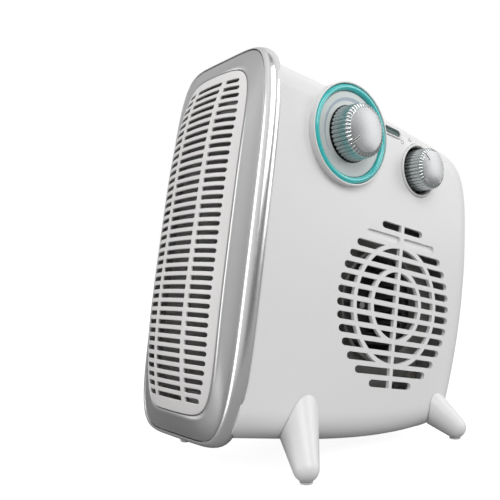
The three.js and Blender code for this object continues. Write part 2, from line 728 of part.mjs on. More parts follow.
// Corrugated fins brazed between two plates: a slab with triangular channels through it.
function finBlock(index) {
  const x = (index - 1.5) * STACK_STEP;
  const [half, reach] = [FIN.thickness / 2, FIN.length / 2];
  const slab = new THREE.Shape();
  slab.moveTo(x - half, FRONT_Z - reach);
  slab.lineTo(x + half, FRONT_Z - reach);
  slab.lineTo(x + half, FRONT_Z + reach);
  slab.lineTo(x - half, FRONT_Z + reach);
  const pitch = (2 * (reach - FIN.sheet)) / FIN.folds;
  for (let i = 0; i < FIN.folds; i += 1) {
    const z = FRONT_Z - reach + FIN.sheet + i * pitch;
    const side = i % 2 ? 1 : -1;
    const channel = new THREE.Path();
    channel.moveTo(x + side * (half - FIN.sheet), z + 0.5);
    channel.lineTo(x + side * (half - FIN.sheet), z + 2 * pitch - 1.9);
    channel.lineTo(x - side * (half - FIN.sheet), z + pitch - 0.7);
    if (i < FIN.folds - 1) slab.holes.push(channel);
  }
  return frontExtrusion(slab, elementFront + FIN.depth, elementFront);
}

function thermalCutout() {
  const x = -18;
  const z = FRONT_Z + HEATER.halfHeight + 3.3;
  const geometry = new THREE.CylinderGeometry(8, 8, 6, 18);
  geometry.rotateX(Math.PI / 2);
  geometry.translate(x, HEATER.back - 10, z);
  const flange = box(x - 13, x + 13, HEATER.back - 15, HEATER.back - 5, z - 3, z - 1.8);
  return joined([toSolid(geometry), flange]);
}

function thermalFuse() {
  const from = new THREE.Vector3(1, HEATER.front + 3, FRONT_Z + HEATER.halfHeight + 3);
  const to = new THREE.Vector3(29, HEATER.front + 3, from.z);
  const profile = [[0, 0], [0.8, 0], [0.8, 8], [2, 8], [2, 19], [0.8, 20], [0.8, 28], [0, 28]];
  return turnedAlong(profile, from, to, 10);
}

// ---------------------------------------------------------------- tilt switch and wiring

function tiltSwitchCradle() {
  const { y, z, length, width, height } = TILT_SWITCH;
  const bottom = z - height;
  const [half, reach] = [width / 2, length / 2];
  const block = box(-half, half, y - reach, y + reach, bottom, z + 3);
  const room = box(-half + 2, half - 2, y - reach - 1, y + reach + 1, bottom + 2, z + 4);
  const pin = rod(1.2, -half + 1, half - 1, y, z, 10);
  return joined([block.subtract(room), pin]);
}

// The bob hangs plumb below the pin, so it is turned back by the lean.
function tiltSwitchBob() {
  const { width, bob } = TILT_SWITCH;
  const half = width / 2 - 3;
  const arm = box(-2, 2, -1.6, 1.6, -9, 2.6);
  const weight = rod(bob, -half, half, 0, -10, 14);
  return joined([arm, weight, rod(3, -2, 2, 0, 0, 12)]).subtract(rod(1.5, -10, 10, 0, 0, 10));
}

function terminalBlock() {
  const body = box(-16, 16, 58, 70, -48, -36);
  const entries = [-10, 0, 10].map((x) => box(x - 2.4, x + 2.4, 50, 75, -44, -40));
  const drivers = [-10, 0, 10].map((x) => box(x - 2, x + 2, 62, 66, -40, -30));
  return cut(body, [...entries, ...drivers]);
}

// ---------------------------------------------------------------- assembly

const body = new THREE.Group();
body.rotation.x = -LEAN;

function piece(parent, name, shape, look) {
  const geometry = shape.isBufferGeometry ? shape : toGeometry(shape);
  const mesh = new THREE.Mesh(geometry, material(look));
  mesh.name = name;
  parent.add(mesh);
  return mesh;
}

piece(body, 'housing_right', housingRight(), 'whitePlastic');
piece(body, 'housing_left', housingLeft(), 'whitePlastic');
piece(body, 'front_band', frontBand(), 'pearlSilver');
piece(body, 'front_frame', frontFrame(), 'satinSilver');
piece(body, 'front_grille', frontGrille(), 'whitePlastic');

piece(body, 'dial_bezel', dialBezel(), 'whitePlastic');
piece(body, 'dial_ring', dialRing(), 'aquaGloss');
piece(body, 'dial_plate', dialPlate(), 'greyPlate');
piece(body, 'thermostat_knob', knob(THERMOSTAT_KNOB), 'knobSilver');
piece(body, 'thermostat_shaft', rod(SHAFT_RADIUS, 29, 62, DIAL.y, DIAL.z, 14), 'brass');
piece(body, 'thermostat_body', thermostatBody(), 'heatPlastic');
piece(body, 'thermostat_nut', bushNut(DIAL.y, DIAL.z, HALF_WIDTH + 1.3 + GAP), 'steel');

piece(body, 'mode_well', modeWell(), 'darkPlastic');
piece(body, 'mode_bezel', modeBezel(), 'whitePlastic');
piece(body, 'mode_knob', knob(MODE_KNOB), 'knobSilver');
piece(body, 'mode_shaft', rod(SHAFT_RADIUS, 33, 56.5, WELL.y, WELL.z, 14), 'brass');
piece(body, 'mode_switch_body', modeSwitchBody(), 'blackPlastic');

piece(body, 'window_bezel', windowBezel(), 'whitePlastic');
piece(body, 'window_lens', windowLens(), 'tealGlass');
piece(body, 'pilot_lamp', pilotLamp(), 'lampGlass');

const LEGS = { front: FRONT_LEG, rear: REAR_LEG };
const SIDES = { right: 1, left: -1 };
const heater = new THREE.Group();
for (const [place, shape] of Object.entries(LEGS)) {
  for (const [sideName, side] of Object.entries(SIDES)) {
    piece(body, `leg_${place}_${sideName}`, leg(shape, side), 'whitePlastic');
    piece(body, `leg_screw_${place}_${sideName}`, legScrew(shape, side), 'steel');
    piece(heater, `foot_pad_${place}_${sideName}`, footPad(shape, side), 'rubber');
  }
}
HOUSING_SCREWS.forEach((place, i) => piece(body, `housing_screw_${i + 1}`, housingScrew(place), 'steel'));

piece(body, 'scroll_casing', scrollCasing(), 'heatPlastic');
piece(body, 'scroll_cover', scrollCover(), 'heatPlastic');
piece(body, 'air_duct', airDuct(), 'heatPlastic');
piece(body, 'fan_wheel', fanWheel(), 'darkPlastic');
piece(body, 'motor_shaft', motorShaft(), 'steel');
piece(body, 'motor_rotor', motorRotor(), 'aluminium');
piece(body, 'motor_stator', motorStator(), 'lamination');
piece(body, 'motor_coil', motorCoil(), 'copper');
piece(body, 'motor_bracket_inner', motorBracket(-22, -19), 'aluminium');
piece(body, 'motor_bracket_outer', motorBracket(-44, -41), 'aluminium');

piece(body, 'heater_frame', heaterFrame(), 'heatPlastic');
for (let i = 0; i < 3; i += 1) piece(body, `ceramic_bar_${i + 1}`, ceramicBar(i), 'ceramic');
for (let i = 0; i < 4; i += 1) piece(body, `fin_block_${i + 1}`, finBlock(i), 'aluminium');
piece(body, 'thermal_cutout', thermalCutout(), 'blackPlastic');
piece(body, 'thermal_fuse', thermalFuse(), 'aluminium');

piece(body, 'tilt_switch_cradle', tiltSwitchCradle(), 'blackPlastic');
const bob = piece(body, 'tilt_switch_bob', tiltSwitchBob(), 'brass');
bob.position.set(0, TILT_SWITCH.y, TILT_SWITCH.z);
bob.rotation.x = LEAN;
piece(body, 'terminal_block', terminalBlock(), 'ceramic');
piece(body, 'cord_inlet', cordInlet(), 'rubber');

heater.add(body);

// The origin is under the middle of the whole, on the ground.
const bounds = new THREE.Box3().setFromObject(heater, true);
heater.position.set(-(bounds.min.x + bounds.max.x) / 2, -(bounds.min.y + bounds.max.y) / 2, -bounds.min.z);

export default heater;
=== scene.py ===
# Ceramic fan heater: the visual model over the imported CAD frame, with camera, floor and studio light.
#
# Shapes are drawn in millimetres in the heater's own body frame, which leans back by LEAN: x runs from
# the centre plane towards the knobs, y towards the rear and z up, with the origin on the fan axis.

import math

import bmesh
import bpy
import numpy as np
from mathutils import Matrix, Vector
from mathutils.geometry import delaunay_2d_cdt


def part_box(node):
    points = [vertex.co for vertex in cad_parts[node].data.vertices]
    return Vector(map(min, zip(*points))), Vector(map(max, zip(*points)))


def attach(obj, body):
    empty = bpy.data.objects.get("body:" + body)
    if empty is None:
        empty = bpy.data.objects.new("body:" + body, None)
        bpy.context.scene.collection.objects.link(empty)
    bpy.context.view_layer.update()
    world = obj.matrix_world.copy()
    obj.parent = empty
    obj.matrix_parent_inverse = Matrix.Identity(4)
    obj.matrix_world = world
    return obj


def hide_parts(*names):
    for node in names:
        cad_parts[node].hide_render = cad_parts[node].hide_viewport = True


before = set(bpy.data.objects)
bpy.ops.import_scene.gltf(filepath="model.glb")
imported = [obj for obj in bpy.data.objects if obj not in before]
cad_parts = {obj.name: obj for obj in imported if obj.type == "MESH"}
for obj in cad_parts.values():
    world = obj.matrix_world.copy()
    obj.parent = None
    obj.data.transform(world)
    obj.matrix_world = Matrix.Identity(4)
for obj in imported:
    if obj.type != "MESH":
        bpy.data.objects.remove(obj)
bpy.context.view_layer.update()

LEAN = math.radians(10)
shaft_low, shaft_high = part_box("motor_shaft")
fan_axis = (shaft_low + shaft_high) / 2
BODY = (
    Matrix.Translation((0, fan_axis.y, fan_axis.z))
    @ Matrix.Rotation(-LEAN, 4, "X")
    @ Matrix.Scale(0.001, 4)
)
TAU = 2 * math.pi

# ---------------------------------------------------------------- camera

camera_data = bpy.data.cameras.new("camera")
camera_data.sensor_width = 36
camera_data.lens = 46.557
camera = bpy.data.objects.new("camera", camera_data)
bpy.context.scene.collection.objects.link(camera)
right = Vector((0.60817, 0.79348, -0.02264))
up = Vector((0.04942, -0.00938, 0.99873))
back = right.cross(up)
camera.matrix_world = Matrix.Translation((0.33513, -0.31302, 0.11403)) @ Matrix(
    (right, up, back)
).transposed().to_4x4()
bpy.context.scene.camera = camera

# ---------------------------------------------------------------- dimensions, as in the CAD

HALF_WIDTH = 51
WALL = 2.5
HOUSING_FRONT = -121
HOUSING_TOP = 132.5
HOUSING_BOTTOM = -89.6
EDGE_IN, EDGE_DEPTH, EDGE_POWER = 18, 15, 2.2
SPLIT = 0.15

FRONT_Z = 23.6
BARREL_WIDE, BARREL_TALL = 6.5, 4.6
SEAM_WIDE, SEAM_TALL, SEAM_Y = 48.5, 117.5, -126.9
BAND_ROUND, BAND_SIDE, BAND_TOP, BAND_BOTTOM = 5.8, 5.6, 1.5, 3.2
GRILLE_WIDE, GRILLE_TALL, GRILLE_Y = 38, 104, -143.2
GRILLE_THICK = 2.4
ROWS, ROW_PITCH, SLOT_HEIGHT = 37, 5.3, 2.7
SLOT_REACH, WEB_INNER, WEB_OUTER = 33, 13.4, 16.8

INTAKE_ROWS, INTAKE_PITCH, INTAKE_SLOT, INTAKE_RADIUS = 14, 8, 4.8, 56
INTAKE_RINGS, INTAKE_BAR, BLIND_ROW = (24, 40), 3, 1

DIAL_Y, DIAL_Z, DIAL_RADIUS, DIAL_FACE = -60.8, 101.2, 33, 55.5
WELL_Y, WELL_Z, WELL_RADIUS, WELL_FLOOR = 12, 96.9, 18.8, 40
WINDOW_Y, WINDOW_Z, WINDOW_LONG, WINDOW_HIGH = -18.3, 116.6, 16.6, 5

FRONT_LEG = ((44.5, -73.6, -77), (63.3, -79.7, -101), 13.3, 7.6)
REAR_LEG = ((43.5, 52, -63.9), (58.8, 62.1, -76.2), 12.1, 7.6)
LEG_ROOT = 12
HOUSING_SCREWS = ((-100, -76), (30, -69), (66, 70), (-105, 120))

# ---------------------------------------------------------------- materials


def node_material(name):
    material = bpy.data.materials.new(name)
    material.use_nodes = True
    return material, material.node_tree.nodes, material.node_tree.links


def noise(nodes, links, scale, detail=3.0, stretch=None):
    """Noise over the object's own coordinates, in metres, optionally stretched along an axis."""
    coordinates = nodes.new("ShaderNodeTexCoord")
    texture = nodes.new("ShaderNodeTexNoise")
    texture.inputs["Scale"].default_value = scale
    texture.inputs["Detail"].default_value = detail
    source = coordinates.outputs["Object"]
    if stretch:
        mapping = nodes.new("ShaderNodeMapping")
        mapping.inputs["Scale"].default_value = stretch
        links.new(source, mapping.inputs["Vector"])
        source = mapping.outputs["Vector"]
    links.new(source, texture.inputs["Vector"])
    return texture.outputs["Fac"]


def spread(nodes, links, factor, low, high):
    """Maps the useful middle of a noise to the range low..high."""
    span = nodes.new("ShaderNodeMapRange")
    span.inputs["From Min"].default_value = 0.3
    span.inputs["From Max"].default_value = 0.7
    span.inputs["To Min"].default_value = low
    span.inputs["To Max"].default_value = high
    links.new(factor, span.inputs["Value"])
    return span.outputs["Result"]


def two_tone(nodes, links, factor, first, second):
    mix = nodes.new("ShaderNodeMix")
    mix.data_type = "RGBA"
    mix.inputs["A"].default_value = (*first, 1)
    mix.inputs["B"].default_value = (*second, 1)
    links.new(factor, mix.inputs["Factor"])
    return mix.outputs["Result"]


def surface(
    name,
    dark,
    light,
    rough,
    metal=0.0,
    tone_scale=25,
    grain_scale=900,
    grain=0.03,
    stretch=None,
    coat=0.0,
    specular=0.5,
):
    """A moulded, painted or plated surface: soft tone and gloss variation and a fine grain."""
    material, nodes, links = node_material(name)
    shader = nodes["Principled BSDF"]
    shader.inputs["Metallic"].default_value = metal
    shader.inputs["Coat Weight"].default_value = coat
    shader.inputs["Specular IOR Level"].default_value = specular
    tone = noise(nodes, links, tone_scale)
    links.new(two_tone(nodes, links, tone, dark, light), shader.inputs["Base Color"])
    fine = noise(nodes, links, grain_scale, 4, stretch)
    links.new(spread(nodes, links, fine, *rough), shader.inputs["Roughness"])
    bump = nodes.new("ShaderNodeBump")
    bump.inputs["Strength"].default_value = grain
    bump.inputs["Distance"].default_value = 0.0002
    links.new(fine, bump.inputs["Height"])
    links.new(bump.outputs["Normal"], shader.inputs["Normal"])
    return material


def brushed_disc(name, centre_y, centre_z):
    """Spun metal: fine rings about an axis along X through the given point in the body frame."""
    material, nodes, links = node_material(name)
    shader = nodes["Principled BSDF"]
    shader.inputs["Metallic"].default_value = 1
    shader.inputs["Anisotropic"].default_value = 0.55
    centre = BODY @ Vector((0, centre_y, centre_z))
    coordinates = nodes.new("ShaderNodeTexCoord")
    shift = nodes.new("ShaderNodeVectorMath")
    shift.operation = "SUBTRACT"
    shift.inputs[1].default_value = (0, centre.y, centre.z)
    links.new(coordinates.outputs["Object"], shift.inputs[0])
    flat = nodes.new("ShaderNodeVectorMath")
    flat.operation = "MULTIPLY"
    flat.inputs[1].default_value = (0, 1, 1)
    links.new(shift.outputs["Vector"], flat.inputs[0])
    radius = nodes.new("ShaderNodeVectorMath")
    radius.operation = "LENGTH"
    links.new(flat.outputs["Vector"], radius.inputs[0])
    rings = nodes.new("ShaderNodeTexNoise")
    rings.noise_dimensions = "1D"
    rings.inputs["Scale"].default_value = 5200
    rings.inputs["Detail"].default_value = 5
    links.new(radius.outputs["Value"], rings.inputs["W"])
    links.new(
        two_tone(nodes, links, rings.outputs["Fac"], (0.36, 0.365, 0.37), (0.46, 0.465, 0.47)),
        shader.inputs["Base Color"],
    )
    links.new(
        spread(nodes, links, rings.outputs["Fac"], 0.26, 0.36), shader.inputs["Roughness"]
    )
    bump = nodes.new("ShaderNodeBump")
    bump.inputs["Strength"].default_value = 0.12
    bump.inputs["Distance"].default_value = 0.00008
    links.new(rings.outputs["Fac"], bump.inputs["Height"])
    links.new(bump.outputs["Normal"], shader.inputs["Normal"])
    return material


LOOKS = {
    "white": surface("white_plastic", (0.865, 0.865, 0.862), (0.88, 0.88, 0.877), (0.27, 0.33), tone_scale=12, grain=0.008),
    "grille": surface("grille_plastic", (0.85, 0.835, 0.83), (0.87, 0.858, 0.852), (0.3, 0.38), grain=0.01),
    "band": surface(
        "polished_silver", (0.84, 0.84, 0.842), (0.88, 0.88, 0.882), (0.2, 0.24), 1.0, grain=0.004
    ),
    "frame": surface(
        "satin_silver", (0.56, 0.56, 0.562), (0.6, 0.6, 0.602), (0.29, 0.33), 1.0, grain=0.005
    ),
    "aqua": surface(
        "aqua_gloss", (0.03, 0.57, 0.56), (0.045, 0.63, 0.62), (0.05, 0.1), 0.0, 60, coat=1.0, grain=0.004
    ),
    "plate": surface("grey_plate", (0.62, 0.67, 0.66), (0.66, 0.71, 0.70), (0.34, 0.42), 0.1, grain=0.01),
    "print_blue": surface("scale_print", (0.36, 0.43, 0.50), (0.42, 0.49, 0.56), (0.4, 0.5), 0.1),
    "print_teal": surface("print_teal", (0.06, 0.2, 0.18), (0.09, 0.26, 0.24), (0.3, 0.4)),
    "print_grey": surface("grey_print", (0.20, 0.21, 0.22), (0.27, 0.28, 0.29), (0.4, 0.5)),
    "grip": surface(
        "knob_grip", (0.50, 0.53, 0.53), (0.60, 0.63, 0.63), (0.22, 0.32), 1.0, stretch=(0.15, 1, 1)
    ),
    "dark": surface("dark_plastic", (0.13, 0.13, 0.135), (0.18, 0.18, 0.185), (0.3, 0.42)),
    "cup": surface("cup_plastic", (0.10, 0.102, 0.105), (0.14, 0.142, 0.145), (0.22, 0.32)),
    "black": surface("black_plastic", (0.008, 0.008, 0.009), (0.015, 0.015, 0.016), (0.4, 0.55)),
    "lens": surface("teal_lens", (0.008, 0.05, 0.045), (0.012, 0.065, 0.058), (0.1, 0.16), grain=0.003, specular=0.3),
    "lamp": surface("lamp_glass", (0.55, 0.2, 0.08), (0.7, 0.3, 0.12), (0.08, 0.15), coat=0.5),
    "steel": surface("zinc_steel", (0.50, 0.51, 0.52), (0.62, 0.63, 0.64), (0.3, 0.45), 1.0, 120),
    "lamination": surface(
        "laminated_steel", (0.25, 0.25, 0.26), (0.38, 0.38, 0.39), (0.4, 0.55), 0.9, 300, 1500, 0.3, (8, 0.1, 0.1)
    ),
    "copper": surface("copper_winding", (0.45, 0.18, 0.08), (0.7, 0.34, 0.16), (0.25, 0.4), 1.0, 400, 2500, 0.5),
    "brass": surface("turned_brass", (0.60, 0.45, 0.18), (0.72, 0.56, 0.26), (0.25, 0.4), 1.0, 150),
    "aluminium": surface("bare_aluminium", (0.60, 0.61, 0.62), (0.72, 0.73, 0.74), (0.3, 0.45), 1.0, 100),
    "ceramic": surface("unglazed_ceramic", (0.72, 0.68, 0.6), (0.82, 0.78, 0.7), (0.7, 0.85), 0.0, 200, 1500, 0.2),
    "heat_plastic": surface("heat_plastic", (0.2, 0.198, 0.19), (0.26, 0.257, 0.25), (0.45, 0.6), 0.0, 60),
    "pad": surface("soft_pad", (0.83, 0.83, 0.83), (0.87, 0.87, 0.87), (0.7, 0.85), 0.0, 200, 1500, 0.15),
    "rubber": surface("dark_rubber", (0.03, 0.03, 0.032), (0.05, 0.05, 0.052), (0.6, 0.8), 0.0, 200, 1500, 0.15),
}
DIAL_FACE_LOOK = brushed_disc("brushed_dial_face", DIAL_Y, DIAL_Z)
MODE_FACE_LOOK = brushed_disc("brushed_mode_face", WELL_Y, WELL_Z)

# ---------------------------------------------------------------- mesh helpers


def finish_mesh(name, mesh, look, body, stands_for=(), smooth=35):
    """Makes a mesh drawn in the body frame into a piece that rides on a body."""
    mesh.transform(BODY)
    mesh.shade_smooth()
    mesh.set_sharp_from_angle(angle=math.radians(smooth))
    mesh.materials.append(look)
    piece = bpy.data.objects.new(name, mesh)
    bpy.context.scene.collection.objects.link(piece)
    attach(piece, body)
    if stands_for:
        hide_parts(*stands_for)
    return piece


def new_mesh(name, points, faces):
    mesh = bpy.data.meshes.new(name)
    mesh.from_pydata([tuple(map(float, p)) for p in points], [], faces)
    mesh.update()
    work = bmesh.new()
    work.from_mesh(mesh)
    bmesh.ops.recalc_face_normals(work, faces=work.faces)
    work.to_mesh(mesh)
    work.free()
    return mesh


def lofted(name, loops, closed=True, cap_ends=False):
    """Quads between loops of equal length. closed joins the last loop to the first."""
    count = len(loops[0])
    points = [p for loop in loops for p in loop]
    faces = []
    pairs = range(len(loops)) if closed else range(len(loops) - 1)
    for j in pairs:
        k = (j + 1) % len(loops)
        for i in range(count):
            n = (i + 1) % count
            faces.append((j * count + i, j * count + n, k * count + n, k * count + i))
    if cap_ends:
        faces.append(tuple(range(count)))
        faces.append(tuple((len(loops) - 1) * count + i for i in range(count)))
    return new_mesh(name, points, faces)


def arc(centre, radius, start, end, steps):
    """Points on a circle in a profile plane, angles in degrees."""
    angles = np.radians(np.linspace(start, end, steps + 1))
    return [(centre[0] + radius * math.cos(a), centre[1] + radius * math.sin(a)) for a in angles]


def filleted(profile, radii, steps=4):
    """Rounds the corners of a closed profile by the given radii."""
    out = []
    count = len(profile)
    for i, point in enumerate(profile):
        radius = radii[i] if isinstance(radii, (list, tuple)) else radii
        corner = np.array(point, float)
        before = np.array(profile[i - 1], float) - corner
        after = np.array(profile[(i + 1) % count], float) - corner
        size_before, size_after = np.linalg.norm(before), np.linalg.norm(after)
        before, after = before / size_before, after / size_after
        half = math.acos(max(-1, min(1, float(before @ after)))) / 2
        if radius <= 0 or half > 1.55:
            out.append(tuple(corner))
            continue
        reach = min(radius / math.tan(half), 0.45 * size_before, 0.45 * size_after)
        for k in range(steps + 1):
            t = k / steps
            blend = (1 - t) ** 2 * (corner + before * reach) + 2 * t * (1 - t) * corner + t * t * (
                corner + after * reach
            )
            out.append(tuple(blend))
    return out


def turned(name, profile, y, z, segments=128):
    """A closed [radius, x] profile turned about the line along X through (y, z)."""
    points, faces = [], []
    rows = []
    for radius, x in profile:
        if radius < 1e-6:
            rows.append([len(points)] * segments)
            points.append((x, y, z))
            continue
        rows.append(list(range(len(points), len(points) + segments)))
        for i in range(segments):
            a = TAU * i / segments
            points.append((x, y + radius * math.cos(a), z + radius * math.sin(a)))
    for j, row in enumerate(rows):
        nxt = rows[(j + 1) % len(rows)]
        for i in range(segments):
            n = (i + 1) % segments
            face = []
            for index in (row[i], row[n], nxt[n], nxt[i]):
                if index not in face:
                    face.append(index)
            if len(face) > 2:
                faces.append(tuple(face))
    return new_mesh(name, points, faces)


def turned_along(name, profile, start, end, segments=64):
    """A [radius, distance] profile turned about the line from start towards end."""
    start, end = Vector(start), Vector(end)
    mesh = turned(name, profile, 0, 0, segments)
    spin = Vector((1, 0, 0)).rotation_difference((end - start).normalized())
    mesh.transform(Matrix.Translation(start) @ spin.to_matrix().to_4x4())
    return mesh


def boolean(mesh, cutter, operation="DIFFERENCE"):
    """Applies an exact boolean between two meshes drawn in the body frame."""
    target = bpy.data.objects.new("target", mesh)
    tool = bpy.data.objects.new("tool", cutter)
    for item in (target, tool):
        bpy.context.scene.collection.objects.link(item)
    modifier = target.modifiers.new("cut", "BOOLEAN")
    modifier.operation = operation
    modifier.solver = "EXACT"
    modifier.object = tool
    graph = bpy.context.evaluated_depsgraph_get()
    result = bpy.data.meshes.new_from_object(target.evaluated_get(graph))
    bpy.data.objects.remove(target)
    bpy.data.objects.remove(tool)
    return result


def merged(meshes, name):
    work = bmesh.new()
    for mesh in meshes:
        work.from_mesh(mesh)
    out = bpy.data.meshes.new(name)
    work.to_mesh(out)
    work.free()
    return out


def prism(name, outline, x0, x1):
    """A (y, z) outline extruded along X."""
    count = len(outline)
    points = [(x0, y, z) for y, z in outline] + [(x1, y, z) for y, z in outline]
    faces = [tuple(range(count)), tuple(range(count, 2 * count))]
    faces += [(i, (i + 1) % count, count + (i + 1) % count, count + i) for i in range(count)]
    return new_mesh(name, points, faces)


# ---------------------------------------------------------------- housing outline and edge


def bezier(*control):
    """A Bezier curve of any degree as a function of an array of parameters."""
    control = np.array(control, float)
    degree = len(control) - 1

    def at(t):
        weights = [math.comb(degree, k) * (1 - t) ** (degree - k) * t**k for k in range(degree + 1)]
        return sum(w[:, None] * p for w, p in zip(weights, control))

    return at


def housing_outline(count=280):
    """The housing's (y, z) side outline from the front top round the rear to the front bottom."""
    t = np.linspace(0, 1, 400)
    curves = [
        bezier((HOUSING_FRONT, HOUSING_TOP), (-85, HOUSING_TOP)),
        bezier((-85, HOUSING_TOP), (-60, HOUSING_TOP), (45, 122)),
        bezier((45, 122), (66, 119.5), (76, 106), (79.5, 75)),
        bezier((79.5, 75), (88, 8), (71, -58)),
        bezier((71, -58), (66.5, -75), (52, -78.5), (40, -80.3)),
        bezier((40, -80.3), (0, -88.8), (-60, HOUSING_BOTTOM)),
        bezier((-60, HOUSING_BOTTOM), (HOUSING_FRONT, HOUSING_BOTTOM)),
    ]
    path = np.concatenate([curve(t)[:-1] for curve in curves] + [[(HOUSING_FRONT, HOUSING_BOTTOM)]])
    along = np.concatenate([[0], np.cumsum(np.linalg.norm(np.diff(path, axis=0), axis=1))])
    even = np.linspace(0, along[-1], count)
    return np.c_[np.interp(even, along, path[:, 0]), np.interp(even, along, path[:, 1])]


OUTLINE = housing_outline()


def outline_normals(points, passes=10):
    """Outward normals of the open outline, evened out so that inward offsets don't cross."""
    slope = np.gradient(points, axis=0)
    normals = np.c_[-slope[:, 1], slope[:, 0]]
    normals /= np.linalg.norm(normals, axis=1)[:, None]
    for _ in range(passes):
        middle = (normals[:-2] + 2 * normals[1:-1] + normals[2:]) / 4
        normals = np.concatenate([normals[:1], middle, normals[-1:]])
        normals /= np.linalg.norm(normals, axis=1)[:, None]
    return normals


NORMALS = outline_normals(OUTLINE)


def edge_rows(grow=0.0, steps=14):
    """(inset, x) rows from the parting plane, round the edge, to the flat side wall."""
    half, reach, depth = HALF_WIDTH + grow, EDGE_IN, EDGE_DEPTH
    rows = [(0.0, SPLIT), (0.0, (half - depth) * 0.5), (0.0, half - depth - 4)]
    for k in range(steps + 1):
        angle = (k / steps) * math.pi / 2
        inset = reach - reach * math.cos(angle) ** (2 / EDGE_POWER)
        rows.append((inset, half - depth + depth * math.sin(angle) ** (2 / EDGE_POWER)))
    return rows


def wall_height(y, z):
    """How far out the right wall's surface is at (y, z) near the top edge."""
    top = np.interp(y, OUTLINE[:140, 0], OUTLINE[:140, 1])
    inset = min(max(top - z, 0.0), EDGE_IN)
    share = (EDGE_IN - inset) / EDGE_IN
    return HALF_WIDTH - EDGE_DEPTH + EDGE_DEPTH * (1 - share**EDGE_POWER) ** (1 / EDGE_POWER)


def housing_half_mesh(name):
    """The right half as a closed thin shell, before its openings are cut."""
    count = len(OUTLINE)
    outer = edge_rows()
    inner = [(inset + WALL, max(x - WALL, SPLIT)) for inset, x in outer]
    points, faces = [], []
    for rows in (outer, inner):
        for inset, x in rows:
            ring = OUTLINE - NORMALS * inset
            ring[0, 0] = ring[-1, 0] = HOUSING_FRONT
            points += [(x, y, z) for y, z in ring]
    rows = len(outer)

    def index(shell, row, i):
        return (shell * rows + row) * count + i

    for shell in (0, 1):
        for row in range(rows - 1):
            for i in range(count - 1):
                faces.append(tuple(index(shell, r, k) for r, k in ((row, i), (row, i + 1), (row + 1, i + 1), (row + 1, i))))
        faces.append(tuple(index(shell, rows - 1, i) for i in range(count)))
    for i in range(count - 1):
        faces.append((index(0, 0, i), index(0, 0, i + 1), index(1, 0, i + 1), index(1, 0, i)))
    for row in range(rows - 1):
        for end in (0, count - 1):
            faces.append((index(0, row, end), index(0, row + 1, end), index(1, row + 1, end), index(1, row, end)))
    last = rows - 1
    faces.append((index(0, last, 0), index(0, last, count - 1), index(1, last, count - 1), index(1, last, 0)))
    return new_mesh(name, points, faces)


def housing_block(name, grow):
    """The whole housing as one solid, a little larger, to trim the legs and the dial rim with."""
    count = len(OUTLINE)
    ring0 = OUTLINE + NORMALS * grow
    loops = []
    rows = edge_rows(grow)
    for inset, x in [(i, -x) for i, x in reversed(rows)] + rows:
        ring = ring0 - NORMALS * inset
        loops.append([(x, y, z) for y, z in ring])
    return lofted(name, loops, closed=False, cap_ends=True)


# ---------------------------------------------------------------- housing halves


def pill(centre_y, centre_z, length, height, steps=10):
    straight = (length - height) / 2
    ends = arc((centre_y + straight, centre_z), height / 2, -90, 90, steps)
    return ends + arc((centre_y - straight, centre_z), height / 2, 90, 270, steps)


def intake_slots():
    """Each slot of the intake as an outline, split by the rings and the bar."""
    outlines = []
    half = INTAKE_SLOT / 2
    for row in range(INTAKE_ROWS):
        if row == BLIND_ROW:
            continue
        z = ((INTAKE_ROWS - 1) / 2 - row) * INTAKE_PITCH
        levels = np.linspace(z - half, z + half, 7)

        def edge(radius, gap, level):
            inside = (radius + gap) ** 2 - level**2
            return math.sqrt(inside) if inside > 0 else None

        spans = []
        start = [INTAKE_BAR / 2] * len(levels)
        for ring in INTAKE_RINGS:
            inner = [edge(ring, -INTAKE_BAR / 2, level) for level in levels]
            outer = [edge(ring, INTAKE_BAR / 2, level) for level in levels]
            if all(v is not None for v in inner) and min(inner) > max(start) + 0.6:
                spans.append((start, inner))
            if all(v is not None for v in outer):
                start = outer
            elif any(v is not None for v in outer):
                start = None
                break
        if start is None:
            inside = [v if v is not None else INTAKE_BAR / 2 for v in outer]
            start = [max(v, INTAKE_BAR / 2) for v in inside]
        reach = math.sqrt(INTAKE_RADIUS**2 - z**2)
        tip = [reach - half + math.sqrt(max(half**2 - (level - z) ** 2, 0)) for level in levels]
        spans.append((start, tip))
        for low, high in spans:
            if max(h - l for l, h in zip(low, high)) < 1.2:
                continue
            near = list(zip(low, levels))
            far = list(zip(high, levels))
            outline = near[::-1] + far
            outlines.append(outline)
            outlines.append([(-y, level) for y, level in outline])
    return outlines


def housing_right():
    shell = housing_half_mesh("housing_right_shell")
    tools = [prism("slot", outline, 44, 56) for outline in intake_slots()]
    blind_z = ((INTAKE_ROWS - 1) / 2 - BLIND_ROW) * INTAKE_PITCH
    blind_half = math.sqrt(INTAKE_RADIUS**2 - blind_z**2)
    for side in (-1, 1):
        middle = side * (blind_half + INTAKE_BAR / 2) / 2
        tools.append(
            prism("blind", pill(middle, blind_z, blind_half - INTAKE_BAR / 2, INTAKE_SLOT), HALF_WIDTH - 1.7, 56)
        )
    tools.append(turned("well_hole", [(0, 36), (WELL_RADIUS + 0.3, 36), (WELL_RADIUS + 0.3, 60), (0, 60)], WELL_Y, WELL_Z))
    tools.append(turned("bush_hole", [(0, 36), (5.3, 36), (5.3, 60), (0, 60)], DIAL_Y, DIAL_Z, 48))
    tools.append(prism("window_hole", pill(WINDOW_Y, WINDOW_Z, WINDOW_LONG + 3.1, WINDOW_HIGH + 3.1), 36, 60))
    return boolean(shell, merged(tools, "openings"))


